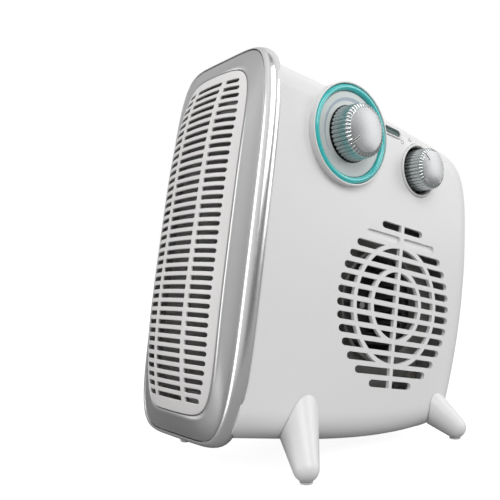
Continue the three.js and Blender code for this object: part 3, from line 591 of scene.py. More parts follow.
def analytic_normals(mesh, side):
    """Lists the true normal for each corner on the flat side wall, and None for the rest: normals which the cuts would
    otherwise disturb.
    """
    normals = []
    polygons = mesh.polygons
    loops = mesh.loops
    corner_normals = [None] * len(loops)
    for polygon in polygons:
        for index in polygon.loop_indices:
            x, y, z = mesh.vertices[loops[index].vertex_index].co
            flat = polygon.normal
            if abs(abs(x) - HALF_WIDTH) < 0.02 and abs(flat.x) > 0.9:
                corner_normals[index] = (side, 0, 0)
    return corner_normals


def bevelled(mesh, width, angle=50, segments=2):
    """Breaks the sharp edges of a cut mesh."""
    item = bpy.data.objects.new("item", mesh)
    bpy.context.scene.collection.objects.link(item)
    modifier = item.modifiers.new("bevel", "BEVEL")
    modifier.width = width
    modifier.segments = segments
    modifier.limit_method = "ANGLE"
    modifier.angle_limit = math.radians(angle)
    modifier.harden_normals = False
    modifier.use_clamp_overlap = True
    graph = bpy.context.evaluated_depsgraph_get()
    result = bpy.data.meshes.new_from_object(item.evaluated_get(graph))
    bpy.data.objects.remove(item)
    return result


def weighted(piece):
    """Face-weighted normals keep the large flat walls flat next to their rounded edges."""
    modifier = piece.modifiers.new("weighted_normals", "WEIGHTED_NORMAL")
    modifier.mode = "FACE_AREA"
    modifier.keep_sharp = True
    modifier.weight = 60
    return piece


right_mesh = housing_right()
weighted(
    finish_mesh(
        "housing_right_shell", right_mesh, LOOKS["white"], "heater", ["housing_right"], 40
    )
)

left_mesh = housing_half_mesh("housing_left_shell")
left_mesh.transform(Matrix.Scale(-1, 4, (1, 0, 0)))
left_mesh.flip_normals()
pillars = [
    turned(f"pillar_{i}", [(0, -49.5), (5, -49.5), (5, -0.3), (0, -0.3)], y, z, 40)
    for i, (y, z) in enumerate(HOUSING_SCREWS)
]
recesses = [
    turned(f"recess_{i}", [(0, -60), (3.8, -60), (3.8, -30), (1.8, -30), (1.8, 1), (0, 1)], y, z, 40)
    for i, (y, z) in enumerate(HOUSING_SCREWS)
]
left_mesh = boolean(left_mesh, merged(pillars, "pillars"), "UNION")
left_mesh = boolean(left_mesh, merged(recesses, "recesses"))
weighted(
    finish_mesh("housing_left_shell", left_mesh, LOOKS["white"], "heater", ["housing_left"], 40)
)

# ---------------------------------------------------------------- front outlines


def barrel_table(half_width, half_height):
    """One quadrant of |x/a|^wide + |z/b|^tall = 1 as (normal angle, x, z), from the side to the top."""
    z1 = np.linspace(0, half_height * 0.5 ** (1 / BARREL_TALL), 2500)
    x1 = half_width * (1 - (z1 / half_height) ** BARREL_TALL) ** (1 / BARREL_WIDE)
    x2 = np.linspace(half_width * 0.5 ** (1 / BARREL_WIDE), 0, 2500)[1:]
    z2 = half_height * (1 - (x2 / half_width) ** BARREL_WIDE) ** (1 / BARREL_TALL)
    x, z = np.concatenate([x1, x2]), np.concatenate([z1, z2])
    slope_x = BARREL_WIDE / half_width * (x / half_width) ** (BARREL_WIDE - 1)
    slope_z = BARREL_TALL / half_height * (z / half_height) ** (BARREL_TALL - 1)
    return np.arctan2(slope_z, slope_x), x, z


def barrel_angles(half_width, half_height, per_quadrant=64):
    """Normal angles of points evenly spaced along one quadrant."""
    angle, x, z = barrel_table(half_width, half_height)
    along = np.concatenate([[0], np.cumsum(np.hypot(np.diff(x), np.diff(z)))])
    even = (np.arange(per_quadrant) + 0.5) / per_quadrant * along[-1]
    return np.interp(even, along, angle)


ANGLES = barrel_angles(SEAM_WIDE, SEAM_TALL)


def barrel(half_width, half_height, grow=0.0):
    """(x, z) points and outward normals all round, moved outwards by grow."""
    angle, x, z = barrel_table(half_width, half_height)
    qx, qz = np.interp(ANGLES, angle, x), np.interp(ANGLES, angle, z)
    nx, nz = np.cos(ANGLES), np.sin(ANGLES)
    xs = np.concatenate([qx, -qx[::-1], -qx, qx[::-1]])
    zs = np.concatenate([qz, qz[::-1], -qz, -qz[::-1]])
    nxs = np.concatenate([nx, -nx[::-1], -nx, nx[::-1]])
    nzs = np.concatenate([nz, nz[::-1], -nz, -nz[::-1]])
    return xs + nxs * grow, zs + nzs * grow + FRONT_Z, nxs, nzs


def front_fall(x, z):
    up = (z - FRONT_Z) / 100
    across = x / 10
    return 0.34 * across**2 + 0.0195 * across**4 + 0.45 * up**2 + 8.1 * up**4


# ---------------------------------------------------------------- band


def section_distance(x, z, nx, nz):
    """How far inwards from (x, z) the housing's cross-section is, negative where it lies outside."""
    corner = [(inset, reach) for inset, reach in edge_rows(0.3)]
    top = [(reach, HOUSING_TOP + 0.3 - inset) for inset, reach in corner]
    low = [(reach, HOUSING_BOTTOM - 0.3 + inset) for inset, reach in reversed(corner)]
    half = np.array(top + low)
    ring = np.concatenate([half, half[::-1] * (-1, 1)])
    nearest = []
    for px, pz, dx, dz in zip(x, z, nx, nz):
        best = 30.0
        for (ax, az), (bx, bz) in zip(ring, np.roll(ring, -1, axis=0)):
            ex, ez = bx - ax, bz - az
            cross = -dx * ez + dz * ex
            if abs(cross) < 1e-9:
                continue
            along = ((ax - px) * ez - (az - pz) * ex) / cross
            share = ((ax - px) * -dz + (az - pz) * dx) / cross
            if -1e-6 <= share <= 1 + 1e-6 and -8 < along < best:
                best = along
        nearest.append(best)
    return np.array(nearest)


def front_band():
    """A half-round silver ring with a thin bright lip on its front edge."""
    base_x, base_z, nx, nz = barrel(SEAM_WIDE, SEAM_TALL)
    inward = section_distance(base_x + nx * 0.5, base_z + nz * 0.5, nx, nz) - 0.5
    inward = np.maximum(inward, -0.3)
    ends = np.interp(nz, (-1, 1), (BAND_BOTTOM, BAND_TOP))
    reach = ends + (BAND_SIDE - ends) * np.abs(nx) ** 1.3
    depth = BAND_ROUND
    profile = [(0.3, 0.0, SEAM_Y + 1.6), (0.32, 0.0, SEAM_Y + 0.3), (0.5, 0.0, SEAM_Y + 0.02)]
    profile += [
        (0.6, math.sin(a), SEAM_Y + depth - depth * math.cos(a)) for a in np.radians(np.linspace(7, 180, 30))
    ]
    rear_y = profile[-1][2]
    loops = []
    for offset, share, y in profile:
        out = offset + (reach - 0.6) * share
        loops.append([tuple(p) for p in zip(base_x + nx * out, np.full(len(nx), y), base_z + nz * out)])
    for y in (rear_y, HOUSING_FRONT - 0.3):
        loops.append(
            [(px - ax * d, y, pz - az * d) for px, pz, ax, az, d in zip(base_x, base_z, nx, nz, inward)]
        )
    loops.append(
        [(px + ax * 0.3, HOUSING_FRONT - 0.3, pz + az * 0.3) for px, pz, ax, az in zip(base_x, base_z, nx, nz)]
    )
    return lofted("front_band_ring", loops)


finish_mesh("front_band_ring", front_band(), LOOKS["band"], "heater", ["front_band"], 40)

# ---------------------------------------------------------------- sloping frame


def front_frame():
    """A hollow slope from the band's seam up to a rounded lip round the grille."""
    outer_x, outer_z, _, _ = barrel(SEAM_WIDE, SEAM_TALL, -0.25)
    inner_x, inner_z, _, _ = barrel(GRILLE_WIDE, GRILLE_TALL, 0.45)
    lip_y = GRILLE_Y + front_fall(inner_x, inner_z) + 0.2

    def loop(share, rise, push=0.0):
        x = inner_x + (outer_x - inner_x) * share
        z = inner_z + (outer_z - inner_z) * share
        y = SEAM_Y + (lip_y - SEAM_Y) * rise + push
        return [tuple(p) for p in zip(x, y, z)]

    loops = [loop(1, 0, 4.4), loop(1, 0, 0.5), loop(0.985, 0.0, 0.12), loop(0.955, 0.0, 0.0)]
    for share in np.linspace(0.92, 0.3, 14):
        climb = ((0.955 - share) / 0.715) ** 0.8
        loops.append(loop(share, climb * 0.88))
    lip = [(0.24, 0.895), (0.2, 0.94), (0.155, 0.975), (0.105, 0.995), (0.06, 1.0), (0.025, 0.985), (0.0, 0.93)]
    loops += [loop(share, rise) for share, rise in lip]
    loops += [loop(0, 0.6), loop(0, 0, 1.0), loop(0, 0, 4.4)]
    return lofted("front_frame_surround", loops)


finish_mesh(
    "front_frame_surround", front_frame(), LOOKS["frame"], "heater", ["front_frame"], 50
)

# ---------------------------------------------------------------- outlet grille


def slot_reach(row):
    from_end = min(row, ROWS - 1 - row)
    return SLOT_REACH - (5.6, 3.6, 2.2, 1.2, 0.5)[from_end] if from_end < 5 else SLOT_REACH


def slot_outline(x0, x1, z, round_left, round_right, grow):
    """A slot whose outer end is round and whose inner ends have small corners."""
    half = SLOT_HEIGHT / 2 + grow
    x0, x1 = x0 - grow, x1 + grow
    right_radius = half if round_right else 0.7 + grow
    left_radius = half if round_left else 0.7 + grow
    points = []
    for cx, cz, radius, start in (
        (x1 - right_radius, z + half - right_radius, right_radius, 0),
        (x0 + left_radius, z + half - left_radius, left_radius, 90),
        (x0 + left_radius, z - half + left_radius, left_radius, 180),
        (x1 - right_radius, z - half + right_radius, right_radius, 270),
    ):
        points += arc((cx, cz), radius, start, start + 90, 4)
    out = []
    for i, (ax, az) in enumerate(points):
        bx, bz = points[(i + 1) % len(points)]
        out.append((ax, az))
        pieces = int(abs(bx - ax) // 2.6)
        out += [(ax + (bx - ax) * k / (pieces + 1), az + (bz - az) * k / (pieces + 1)) for k in range(1, pieces + 1)]
    kept = [out[0]]
    for p in out[1:]:
        if math.dist(p, kept[-1]) > 1e-4:
            kept.append(p)
    return kept


def inside_outline(points, outline):
    """Even-odd test of many points against one outline."""
    inside = np.zeros(len(points), bool)
    for (ax, ay), (bx, by) in zip(outline, np.roll(outline, -1, axis=0)):
        if ay == by:
            continue
        crosses = (points[:, 1] < ay) != (points[:, 1] < by)
        inside ^= crosses & (points[:, 0] < ax + (points[:, 1] - ay) * (bx - ax) / (by - ay))
    return inside


def fill_cap(work, rings, w, spacing=4.0):
    """Fills between the first ring and the hole rings, with extra points so the fill can be bent."""
    outlines = [np.array([v.co[:2] for v in ring]) for ring in rings]
    border = np.concatenate(outlines)
    low, high = border.min(axis=0), border.max(axis=0)
    grid = np.stack(np.meshgrid(np.arange(low[0], high[0], spacing), np.arange(low[1], high[1], spacing)), -1).reshape(-1, 2)
    grid = grid[inside_outline(grid, outlines[0])]
    for outline in outlines[1:]:
        grid = grid[~inside_outline(grid, outline)]
    gaps = np.linalg.norm(grid[:, None] - border[None], axis=2).min(axis=1)
    grid = grid[gaps > 0.45 * spacing]
    verts = [v for ring in rings for v in ring] + [work.verts.new((u, v, w)) for u, v in grid]
    edges, start = [], 0
    for ring in rings:
        edges += [(start + i, start + (i + 1) % len(ring)) for i in range(len(ring))]
        start += len(ring)
    flat = [Vector(v.co[:2]) for v in verts]
    out_points, _, triangles, sources, _, _ = delaunay_2d_cdt(flat, edges, [], 0, 1e-6)
    centres = np.array([np.mean([out_points[i] for i in t], axis=0) for t in triangles])
    keep = inside_outline(centres, outlines[0])
    for outline in outlines[1:]:
        keep &= ~inside_outline(centres, outline)
    for triangle, kept in zip(triangles, keep):
        if kept:
            corners = [verts[sources[i][0]] for i in triangle]
            if not work.faces.get(corners):
                work.faces.new(corners)


def perforated(name, outer_at, holes_at, depth, bevel, steps=3):
    """A plate with rounded hole edges, flat, from w = 0 at the front to w = depth.

    outer_at and holes_at give outlines for a growth in mm. Returns the mesh in (u, v, w)."""
    work = bmesh.new()
    rings = [(bevel - bevel * math.sin(a), bevel - bevel * math.cos(a)) for a in np.linspace(0, math.pi / 2, steps + 1)]
    rings.append((0.0, depth))
    front_rings, back_rings = [], []
    count = len(holes_at(0.0))
    for which in range(-1, count):
        previous = None
        for k, (grow, w) in enumerate(rings):
            outline = outer_at(-grow) if which < 0 else holes_at(grow)[which]
            row = [work.verts.new((u, v, w)) for u, v in outline]
            if previous:
                for i in range(len(row)):
                    n = (i + 1) % len(row)
                    work.faces.new((previous[i], previous[n], row[n], row[i]))
            if k in (0, len(rings) - 1):
                (front_rings if k == 0 else back_rings).append(row)
            previous = row
    for rings_of_verts, w in ((front_rings, 0.0), (back_rings, depth)):
        fill_cap(work, rings_of_verts, w)
    bmesh.ops.recalc_face_normals(work, faces=work.faces)
    mesh = bpy.data.meshes.new(name)
    work.to_mesh(mesh)
    work.free()
    return mesh


def even_outline(half_width, half_height, grow):
    x, z, _, _ = barrel(half_width, half_height, grow)
    return list(zip(x, z))


def grille_holes(grow):
    holes = []
    for row in range(ROWS):
        z = FRONT_Z + ((ROWS - 1) / 2 - row) * ROW_PITCH
        reach = slot_reach(row)
        holes.append(slot_outline(-reach, -WEB_OUTER, z, True, False, grow))
        holes.append(slot_outline(-WEB_INNER, WEB_INNER, z, False, False, grow))
        holes.append(slot_outline(WEB_OUTER, reach, z, False, True, grow))
    return holes


def grille_mesh():
    flat = perforated(
        "front_grille_panel",
        lambda grow: even_outline(GRILLE_WIDE, GRILLE_TALL, grow),
        lambda grow: GRILLE_HOLES[round(grow, 4)],
        GRILLE_THICK,
        GRILLE_BEVEL,
    )
    count = len(flat.vertices)
    normals = np.zeros((count, 3))
    for polygon in flat.polygons:
        cap = abs(polygon.normal.z) > 0.999
        weight = 0.0 if cap else polygon.area
        for vertex in polygon.vertices:
            normals[vertex] += np.array(polygon.normal) * weight
    for vertex in flat.vertices:
        w = vertex.co.z
        if w < 1e-5:
            normals[vertex.index] = (0, 0, -1)
        elif w > GRILLE_THICK - 1e-5:
            normals[vertex.index] = (0, 0, 1)
    normals /= np.maximum(np.linalg.norm(normals, axis=1), 1e-9)[:, None]
    final = []
    for vertex, (nu, nv, nw) in zip(flat.vertices, normals):
        u, v, w = vertex.co
        step = 0.01
        fall_u = (front_fall(u + step, v) - front_fall(u - step, v)) / (2 * step)
        fall_v = (front_fall(u, v + step) - front_fall(u, v - step)) / (2 * step)
        vertex.co = (u, GRILLE_Y + front_fall(u, v) + w, v)
        bent = Vector((nu - fall_u * nw, nw, nv - fall_v * nw)).normalized()
        final.append(bent)
    flat.flip_normals()
    return flat, final


GRILLE_BEVEL = 0.45
GRILLE_HOLES = {
    round(GRILLE_BEVEL - GRILLE_BEVEL * math.sin(a), 4): grille_holes(GRILLE_BEVEL - GRILLE_BEVEL * math.sin(a))
    for a in np.linspace(0, math.pi / 2, 4)
}
grille, grille_normals = grille_mesh()
grille_piece = finish_mesh(
    "front_grille_panel", grille, LOOKS["grille"], "heater", ["front_grille"], 180
)
turn = BODY.to_3x3().normalized()
grille_piece.data.normals_split_custom_set_from_vertices([tuple(turn @ n) for n in grille_normals])

# ---------------------------------------------------------------- dial


def dial_bezel():
    """The white rim: a short drum whose wall meets the housing, with a shallow tray inside."""
    tray = HALF_WIDTH + 1.3
    radius = DIAL_RADIUS
    profile = [
        (5.3, 36), (radius, 36), (radius, DIAL_FACE), (radius - 1.05, DIAL_FACE), (radius - 1.05, tray), (5.3, tray),
    ]
    rim = turned("dial_rim", filleted(profile, [0, 0, 0.5, 0.5, 0, 0]), DIAL_Y, DIAL_Z, 160)
    return boolean(rim, housing_block("trim", 0.05))


finish_mesh("dial_rim", dial_bezel(), LOOKS["white"], "heater", ["dial_bezel"], 35)

RING_IN, RING_OUT = 27.6, DIAL_RADIUS - 1.4
ring_mid = (RING_IN + RING_OUT) / 2
ring_half = (RING_OUT - RING_IN) / 2
ring_profile = [(RING_IN, HALF_WIDTH + 1.4), (RING_OUT, HALF_WIDTH + 1.4)] + [
    (ring_mid + ring_half * math.cos(a), DIAL_FACE - 1.9 + 2.1 * math.sin(a)) for a in np.linspace(0, math.pi, 21)
]
finish_mesh(
    "dial_ring_torus", turned("dial_ring_torus", ring_profile, DIAL_Y, DIAL_Z, 160), LOOKS["aqua"], "heater",
    ["dial_ring"], 40,
)

PLATE_TOP = HALF_WIDTH + 2.6
plate_profile = filleted(
    [(9.5, HALF_WIDTH + 1.45), (RING_IN - 0.4, HALF_WIDTH + 1.45), (RING_IN - 0.4, PLATE_TOP), (9.5, PLATE_TOP)],
    [0, 0, 0.2, 0.2],
)
finish_mesh(
    "dial_scale_plate", turned("dial_scale_plate", plate_profile, DIAL_Y, DIAL_Z, 128), LOOKS["plate"], "heater",
    ["dial_plate"], 35,
)


def dial_point(clock, radius, x):
    """A point by clock angle in degrees, clockwise from the top as seen from outside."""
    a = math.radians(clock)
    return (x, DIAL_Y + radius * math.sin(a), DIAL_Z + radius * math.cos(a))


def crescent():
    """The scale print: thin at the minimum, widening clockwise to the maximum."""
    top, bottom = [], []
    for share in np.linspace(0, 1, 90):
        clock = -136 + share * 250
        width = 0.25 + 2.6 * math.sin(min(share * 1.15, 1) * math.pi / 2)
        end = min(1.0, share / 0.02, (1 - share) / 0.015)
        outer, inner = 22.3 + width * 0.45 * end, 22.3 - width * 0.55 * end
        top.append((clock, outer))
        bottom.append((clock, inner))
    outline = top + bottom[::-1]
    count = len(outline)
    points = [dial_point(c, r, PLATE_TOP + h) for h in (0.005, 0.06) for c, r in outline]
    half = len(top)
    faces = []
    for level in (0, count):
        for i in range(half - 1):
            faces.append((level + i, level + i + 1, level + count - 2 - i, level + count - 1 - i))
    faces += [(i, (i + 1) % count, count + (i + 1) % count, count + i) for i in range(count)]
    return new_mesh("dial_scale_print", points, faces)


finish_mesh("dial_scale_print", crescent(), LOOKS["print_blue"], "heater", (), 35)

# ---------------------------------------------------------------- knobs


def fluted_knob(name, y, z, flutes, rows):
    """A fluted knob. rows are (radius, x, flute depth); the flutes sink along the profile's normal."""
    per = 12
    count = flutes * per
    profile = np.array(rows)
    slope = np.gradient(profile[:, :2], axis=0)
    normal = np.c_[slope[:, 1], -slope[:, 0]]
    normal /= np.linalg.norm(normal, axis=1)[:, None]
    angle = TAU * np.arange(count) / count
    sink = 1 - np.abs(np.sin(math.pi * (np.arange(count) % per) / per)) ** 0.6
    loops = []
    for (radius, x, depth), (nr, nx) in zip(rows, normal):
        r = radius - depth * sink * nr
        loops.append([tuple(p) for p in zip(x - depth * sink * nx, y + r * np.cos(angle), z + r * np.sin(angle))])
    return lofted(name, loops, closed=False, cap_ends=True)


def knob_rows(base, face, base_radius, grip_radius, bevel_radius, face_radius, depth):
    """Grip, rounded shoulder, and a scalloped bevel that runs out at the face."""
    shoulder = face - 2.2
    rows = [(base_radius - 0.5, base, depth * 0.6), (base_radius, base + 0.5, depth)]
    for share in np.linspace(0.06, 1, 8):
        rows.append((base_radius + (grip_radius - base_radius) * share, base + 0.5 + (shoulder - base - 0.5) * share, depth))
    for share in np.linspace(0.2, 1, 5):
        a = share * math.pi / 2
        rows.append(
            (grip_radius - (grip_radius - bevel_radius) * (1 - math.cos(a)), shoulder + 1.0 * math.sin(a), depth)
        )
    for share in np.linspace(0.12, 1, 10):
        rows.append(
            (bevel_radius + (face_radius - bevel_radius) * share, shoulder + 1.0 + 1.2 * share**0.75, depth * (1 - share**5))
        )
    return rows


def knob_face(name, y, z, edge, radius, dome):
    """The spun metal face set inside the scallops, slightly domed."""
    profile = [(0, edge - 1.2), (radius, edge - 1.2), (radius, edge)]
    profile += [(radius * r, edge + dome * (1 - r * r)) for r in np.linspace(0.96, 0, 20)]
    return turned(name, profile, y, z, 144)


def pointer(name, y, z, clock, r0, r1, height, half, thick):
    """A narrow radial bar lying on the knob's face, following its dome."""
    a = math.radians(clock)
    along = (math.sin(a), math.cos(a))
    across = (math.cos(a), -math.sin(a))
    points, steps = [], 8
    for level in (-0.4, thick):
        for k in range(steps + 1):
            r = r0 + (r1 - r0) * k / steps
            x = height(r) + level
            for side in (-half, half):
                points.append((x, y + along[0] * r + across[0] * side, z + along[1] * r + across[1] * side))
    faces = []
    row = 2 * (steps + 1)
    for k in range(steps):
        for level in (0, row):
            faces.append((level + 2 * k, level + 2 * k + 1, level + 2 * k + 3, level + 2 * k + 2))
        for side in (0, 1):
            faces.append((2 * k + side, 2 * k + 2 + side, row + 2 * k + 2 + side, row + 2 * k + side))
    faces.append((0, 1, row + 1, row))
    faces.append((row - 2, row - 1, 2 * row - 1, 2 * row - 2))
    return new_mesh(name, points, faces)


def build_knob(prefix, y, z, flutes, base, face, radii, clock, mark, body, node, face_look):
    rows = knob_rows(base, face, *radii, 1.0)
    edge = rows[-1][1]
    face_radius = radii[3] - 0.15
    finish_mesh(f"{prefix}_grip", fluted_knob(f"{prefix}_grip", y, z, flutes, rows), LOOKS["grip"], body, [node], 60)
    dome = 0.09 * face_radius
    disc = knob_face(f"{prefix}_face", y, z, edge - 0.02, face_radius, dome)
    finish_mesh(f"{prefix}_face", disc, face_look, body, (), 40)

    def height(r):
        return edge + (dome * (1 - (r / face_radius) ** 2) if r < face_radius else -(r - face_radius) * 0.35)

    # The pointer is a groove in the knob's face, drawn as two flat bars instead of a cut: the wider white bar is a
    # painted highlight on the groove's edges and the narrow black bar is the groove's painted shade.
    light = pointer(f"{prefix}_pointer_groove_highlight", y, z, clock, mark[0] - 0.2, mark[1], height, 0.72, 0.06)
    finish_mesh(f"{prefix}_pointer_groove_highlight", light, LOOKS["white"], body, (), 35)
    dark = pointer(f"{prefix}_pointer_groove_shade", y, z, clock, mark[0], mark[1] + 0.1, height, 0.34, 0.12)
    finish_mesh(f"{prefix}_pointer_groove_shade", dark, LOOKS["black"], body, (), 35)


build_knob(
    "thermostat", DIAL_Y, DIAL_Z, 40, DIAL_FACE - 1.6, 67.2, (17.9, 17.1, 16.7, 14.0), -136,
    (8.2, 15.3), "thermostat", "thermostat_knob", DIAL_FACE_LOOK,
)
# A black ring under the thermostat knob's skirt is painted shade for the undercut gap between the knob and the scale
# plate.
gap_shade_profile = [(9.5, PLATE_TOP - 0.3), (18.5, PLATE_TOP - 0.3), (18.5, PLATE_TOP + 0.1), (9.5, PLATE_TOP + 0.1)]
finish_mesh(
    "dial_gap_shade_ring", turned("dial_gap_shade_ring", gap_shade_profile, DIAL_Y, DIAL_Z, 128), LOOKS["black"], "heater",
    (), 35,
)
build_knob(
    "mode", WELL_Y, WELL_Z, 36, WELL_FLOOR + 2.2, 62.9, (15.0, 14.1, 13.7, 11.7), -50,
    (6.4, 12.4), "mode_selector", "mode_knob", MODE_FACE_LOOK,
)

# ---------------------------------------------------------------- mode cup, rim, window

cup_radius = WELL_RADIUS - 1.3
cup_profile = [
    (5.3, WELL_FLOOR - 1.5), (cup_radius, WELL_FLOOR - 1.5), (cup_radius, HALF_WIDTH - 2.4),
    (cup_radius - 1.1, HALF_WIDTH - 2.4), (cup_radius - 1.1, WELL_FLOOR + 1.0), (cup_radius - 2.1, WELL_FLOOR), (5.3, WELL_FLOOR),
]
finish_mesh(
    "mode_cup", turned("mode_cup", cup_profile, WELL_Y, WELL_Z, 128), LOOKS["cup"], "heater",
    ["mode_well"], 35,
)


def surface_ring(name, outline_at, section):
    """A trim ring that follows the housing's surface. section is closed (growth, height) points."""
    loops = []
    for grow, rise in section:
        loops.append([(wall_height(y, z) + rise, y, z) for y, z in outline_at(grow)])
    return lofted(name, loops)


def well_circle(grow):
    radius = WELL_RADIUS - 1.5 + grow
    return [
        (WELL_Y + radius * math.cos(TAU * i / 144), WELL_Z + radius * math.sin(TAU * i / 144)) for i in range(144)
    ]


rim_section = [(-0.1, -3.5), (1.5, -3.5), (1.5, 0.3), (1.4, 0.75), (1.1, 1.05), (0.7, 1.15), (0.3, 1.05), (0.0, 0.75), (-0.1, 0.3)]
finish_mesh(
    "mode_rim", surface_ring("mode_rim", well_circle, rim_section), LOOKS["white"], "heater",
    ["mode_bezel"], 50,
)

window_section = [(-0.1, -3.2), (1.3, -3.2), (1.3, 0.2), (1.2, 0.6), (0.9, 0.85), (0.55, 0.9), (0.2, 0.7), (-0.05, 0.3), (-0.1, -0.3)]
finish_mesh(
    "window_rim",
    surface_ring("window_rim", lambda grow: pill(WINDOW_Y, WINDOW_Z, WINDOW_LONG + 2 * grow, WINDOW_HIGH + 2 * grow, 16), window_section),
    LOOKS["white"], "heater", ["window_bezel"], 50,
)


def window_lens():
    loops = []
    for grow, rise in ((-0.3, -3.0), (-0.3, -0.3), (-0.45, -0.12), (-1.0, -0.05), (-1.8, 0.0)):
        outline = pill(WINDOW_Y, WINDOW_Z, WINDOW_LONG + 2 * grow, WINDOW_HIGH + 2 * grow, 16)
        loops.append([(wall_height(y, z) + rise, y, z) for y, z in outline])
    return lofted("window_glass", loops, closed=False, cap_ends=True)


finish_mesh("window_glass", window_lens(), LOOKS["lens"], "heater", ["window_lens"], 40)

for i, offset in enumerate((-2.6, 2.2)):
    y0 = WINDOW_Y + 1.6 + offset
    bar = [(y, z) for y, z in ((y0, WINDOW_Z - 1.7), (y0 + 0.5, WINDOW_Z - 1.7), (y0 + 0.5, WINDOW_Z + 1.7), (y0, WINDOW_Z + 1.7))]
    points = [(wall_height(y, z) + h, y, z) for h in (-0.3, 0.03) for y, z in bar]
    faces = [(0, 1, 2, 3), (4, 5, 6, 7)] + [(k, (k + 1) % 4, 4 + (k + 1) % 4, 4 + k) for k in range(4)]
    finish_mesh(
        f"window_division_{i}", new_mesh("division", points, faces), LOOKS["print_teal"], "heater", (), 35
    )

# ---------------------------------------------------------------- small prints on the housing


def printed(name, outlines, look=LOOKS["print_grey"], thick=0.05):
    """Flat prints of (y, z) outlines laid on the right wall."""
    meshes = []
    for outline in outlines:
        count = len(outline)
        points = [(wall_height(y, z) + h, y, z) for h in (0.004, thick) for y, z in outline]
        faces = [tuple(range(count)), tuple(range(count, 2 * count))]
        faces += [(i, (i + 1) % count, count + (i + 1) % count, count + i) for i in range(count)]
        meshes.append(new_mesh(name, points, faces))
    return finish_mesh(name, merged(meshes, name), look, "heater", (), 35)


def ring_parts(y, z, radius, width, parts=16):
    """A ring as short four-cornered parts."""
    out = []
    for i in range(parts):
        a, b = TAU * i / parts, TAU * (i + 1) / parts
        out.append(
            [
                (y + r * math.cos(t), z + r * math.sin(t))
                for r, t in ((radius, a), (radius, b), (radius - width, b), (radius - width, a))
            ]
        )
    return out


def flame(y, z, size):
    shape = [(0, 1.0), (0.28, 0.62), (0.5, 0.2), (0.55, -0.3), (0.35, -0.75), (0, -0.95), (-0.35, -0.75), (-0.55, -0.3), (-0.42, 0.1), (-0.2, 0.3), (-0.12, 0.6)]
    return [(y + size * a, z + size * b) for a, b in shape]


def fan_blades(y, z, size):
    out = []
    for k in range(3):
        turn_by = TAU * k / 3
        blade = [(0.0, 0.12), (0.3, 0.5), (0.2, 0.95), (-0.15, 0.95), (-0.3, 0.55)]
        out.append(
            [
                (
                    y + size * (a * math.cos(turn_by) - b * math.sin(turn_by)),
                    z + size * (a * math.sin(turn_by) + b * math.cos(turn_by)),
                )
                for a, b in blade
            ]
        )
    return out


printed("mark_off", ring_parts(-8.0, 111.9, 1.5, 0.4))
printed("mark_fan", fan_blades(0.6, 116.0, 1.9))
printed("mark_low_heat", [flame(14.2, 114.9, 1.9)])
printed("mark_high_heat", [flame(27.5, 109.0, 1.9), flame(30.2, 107.6, 1.9)])

# ---------------------------------------------------------------- legs


def leg_mesh(name, leg, side):
    base, tip, base_radius, tip_radius = leg
    base = (side * base[0], base[1], base[2])
    tip = (side * tip[0], tip[1], tip[2])
    length = math.dist(base, tip)
    start = math.asin((base_radius - tip_radius) / length)
    taper = (base_radius - tip_radius) / length
    profile = [(0, -LEG_ROOT), (base_radius + taper * LEG_ROOT, -LEG_ROOT)]
    profile += [
        (tip_radius * math.cos(a), length + tip_radius * math.sin(a))
        for a in np.linspace(start, math.pi / 2, 14)
    ]
    profile[-1] = (0, length + tip_radius)
    cone = turned_along(name, profile, base, tip, 96)
    return boolean(cone, housing_block("trim", 0.45))


for place, leg in (("front", FRONT_LEG), ("rear", REAR_LEG)):
    for side_name, side in (("right", 1), ("left", -1)):
        name = f"leg_cone_{place}_{side_name}"
        mesh = leg_mesh(name, leg, side)
        mesh.transform(BODY)
        pad_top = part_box(f"foot_pad_{place}_{side_name}")[1].z
        for vertex in mesh.vertices:
            vertex.co.z = max(vertex.co.z, pad_top + 0.0003)
        mesh.transform(BODY.inverted())
        finish_mesh(name, mesh, LOOKS["white"], "heater", [f"leg_{place}_{side_name}"], 40)

for place, leg in (("front", FRONT_LEG), ("rear", REAR_LEG)):
    for side in ("right", "left"):
        low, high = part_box(f"foot_pad_{place}_{side}")
        tall = (high.z - low.z) * 1000
        profile = [(0, 0), (3.2, 0), (3.5, 0.12), (3.65, 0.4), (3.85, tall), (0, tall)]
        pad = turned("pad", profile, 0, 0, 48)
        pad.transform(Matrix.Rotation(-math.pi / 2, 4, "Y"))
        centre = (low + high) / 2
        pad.transform(
            BODY.inverted() @ Matrix.Translation((centre.x, centre.y, low.z)) @ Matrix.Scale(0.001, 4)
        )
        finish_mesh(f"foot_disc_{place}_{side}", pad, LOOKS["pad"], "heater", [f"foot_pad_{place}_{side}"], 50)

# ---------------------------------------------------------------- carried-over CAD nodes

CARRIED = {
    "steel": ["thermostat_nut", "motor_shaft"]
    + [f"housing_screw_{i}" for i in range(1, 5)]
    + [f"leg_screw_{p}_{s}" for p in ("front", "rear") for s in ("right", "left")],
    "brass": ["thermostat_shaft", "mode_shaft", "tilt_switch_bob"],
    "heat_plastic": ["thermostat_body", "scroll_casing", "scroll_cover", "air_duct", "heater_frame"],
    "black": ["mode_switch_body", "thermal_cutout", "tilt_switch_cradle"],
    "dark": ["fan_wheel"],
    "lamp": ["pilot_lamp"],
    "aluminium": ["motor_rotor", "motor_bracket_inner", "motor_bracket_outer", "thermal_fuse"]
    + [f"fin_block_{i}" for i in range(1, 5)],
    "lamination": ["motor_stator"],
    "copper": ["motor_coil"],
    "ceramic": ["terminal_block"] + [f"ceramic_bar_{i}" for i in range(1, 4)],
    "rubber": ["cord_inlet"],
}
for look, nodes in CARRIED.items():
    for node in nodes:
        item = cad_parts[node]
        item.data.materials.clear()
        item.data.materials.append(LOOKS[look])

# ---------------------------------------------------------------- floor, light and world


def stage_plane(name, size, location, look):
    mesh = bpy.data.meshes.new(name)
    half = size / 2
    mesh.from_pydata([(-half, -half, 0), (half, -half, 0), (half, half, 0), (-half, half, 0)], [], [(0, 1, 2, 3)])
    mesh.materials.append(look)
    plane = bpy.data.objects.new(name, mesh)
    plane.location = location
    bpy.context.scene.collection.objects.link(plane)
    return plane


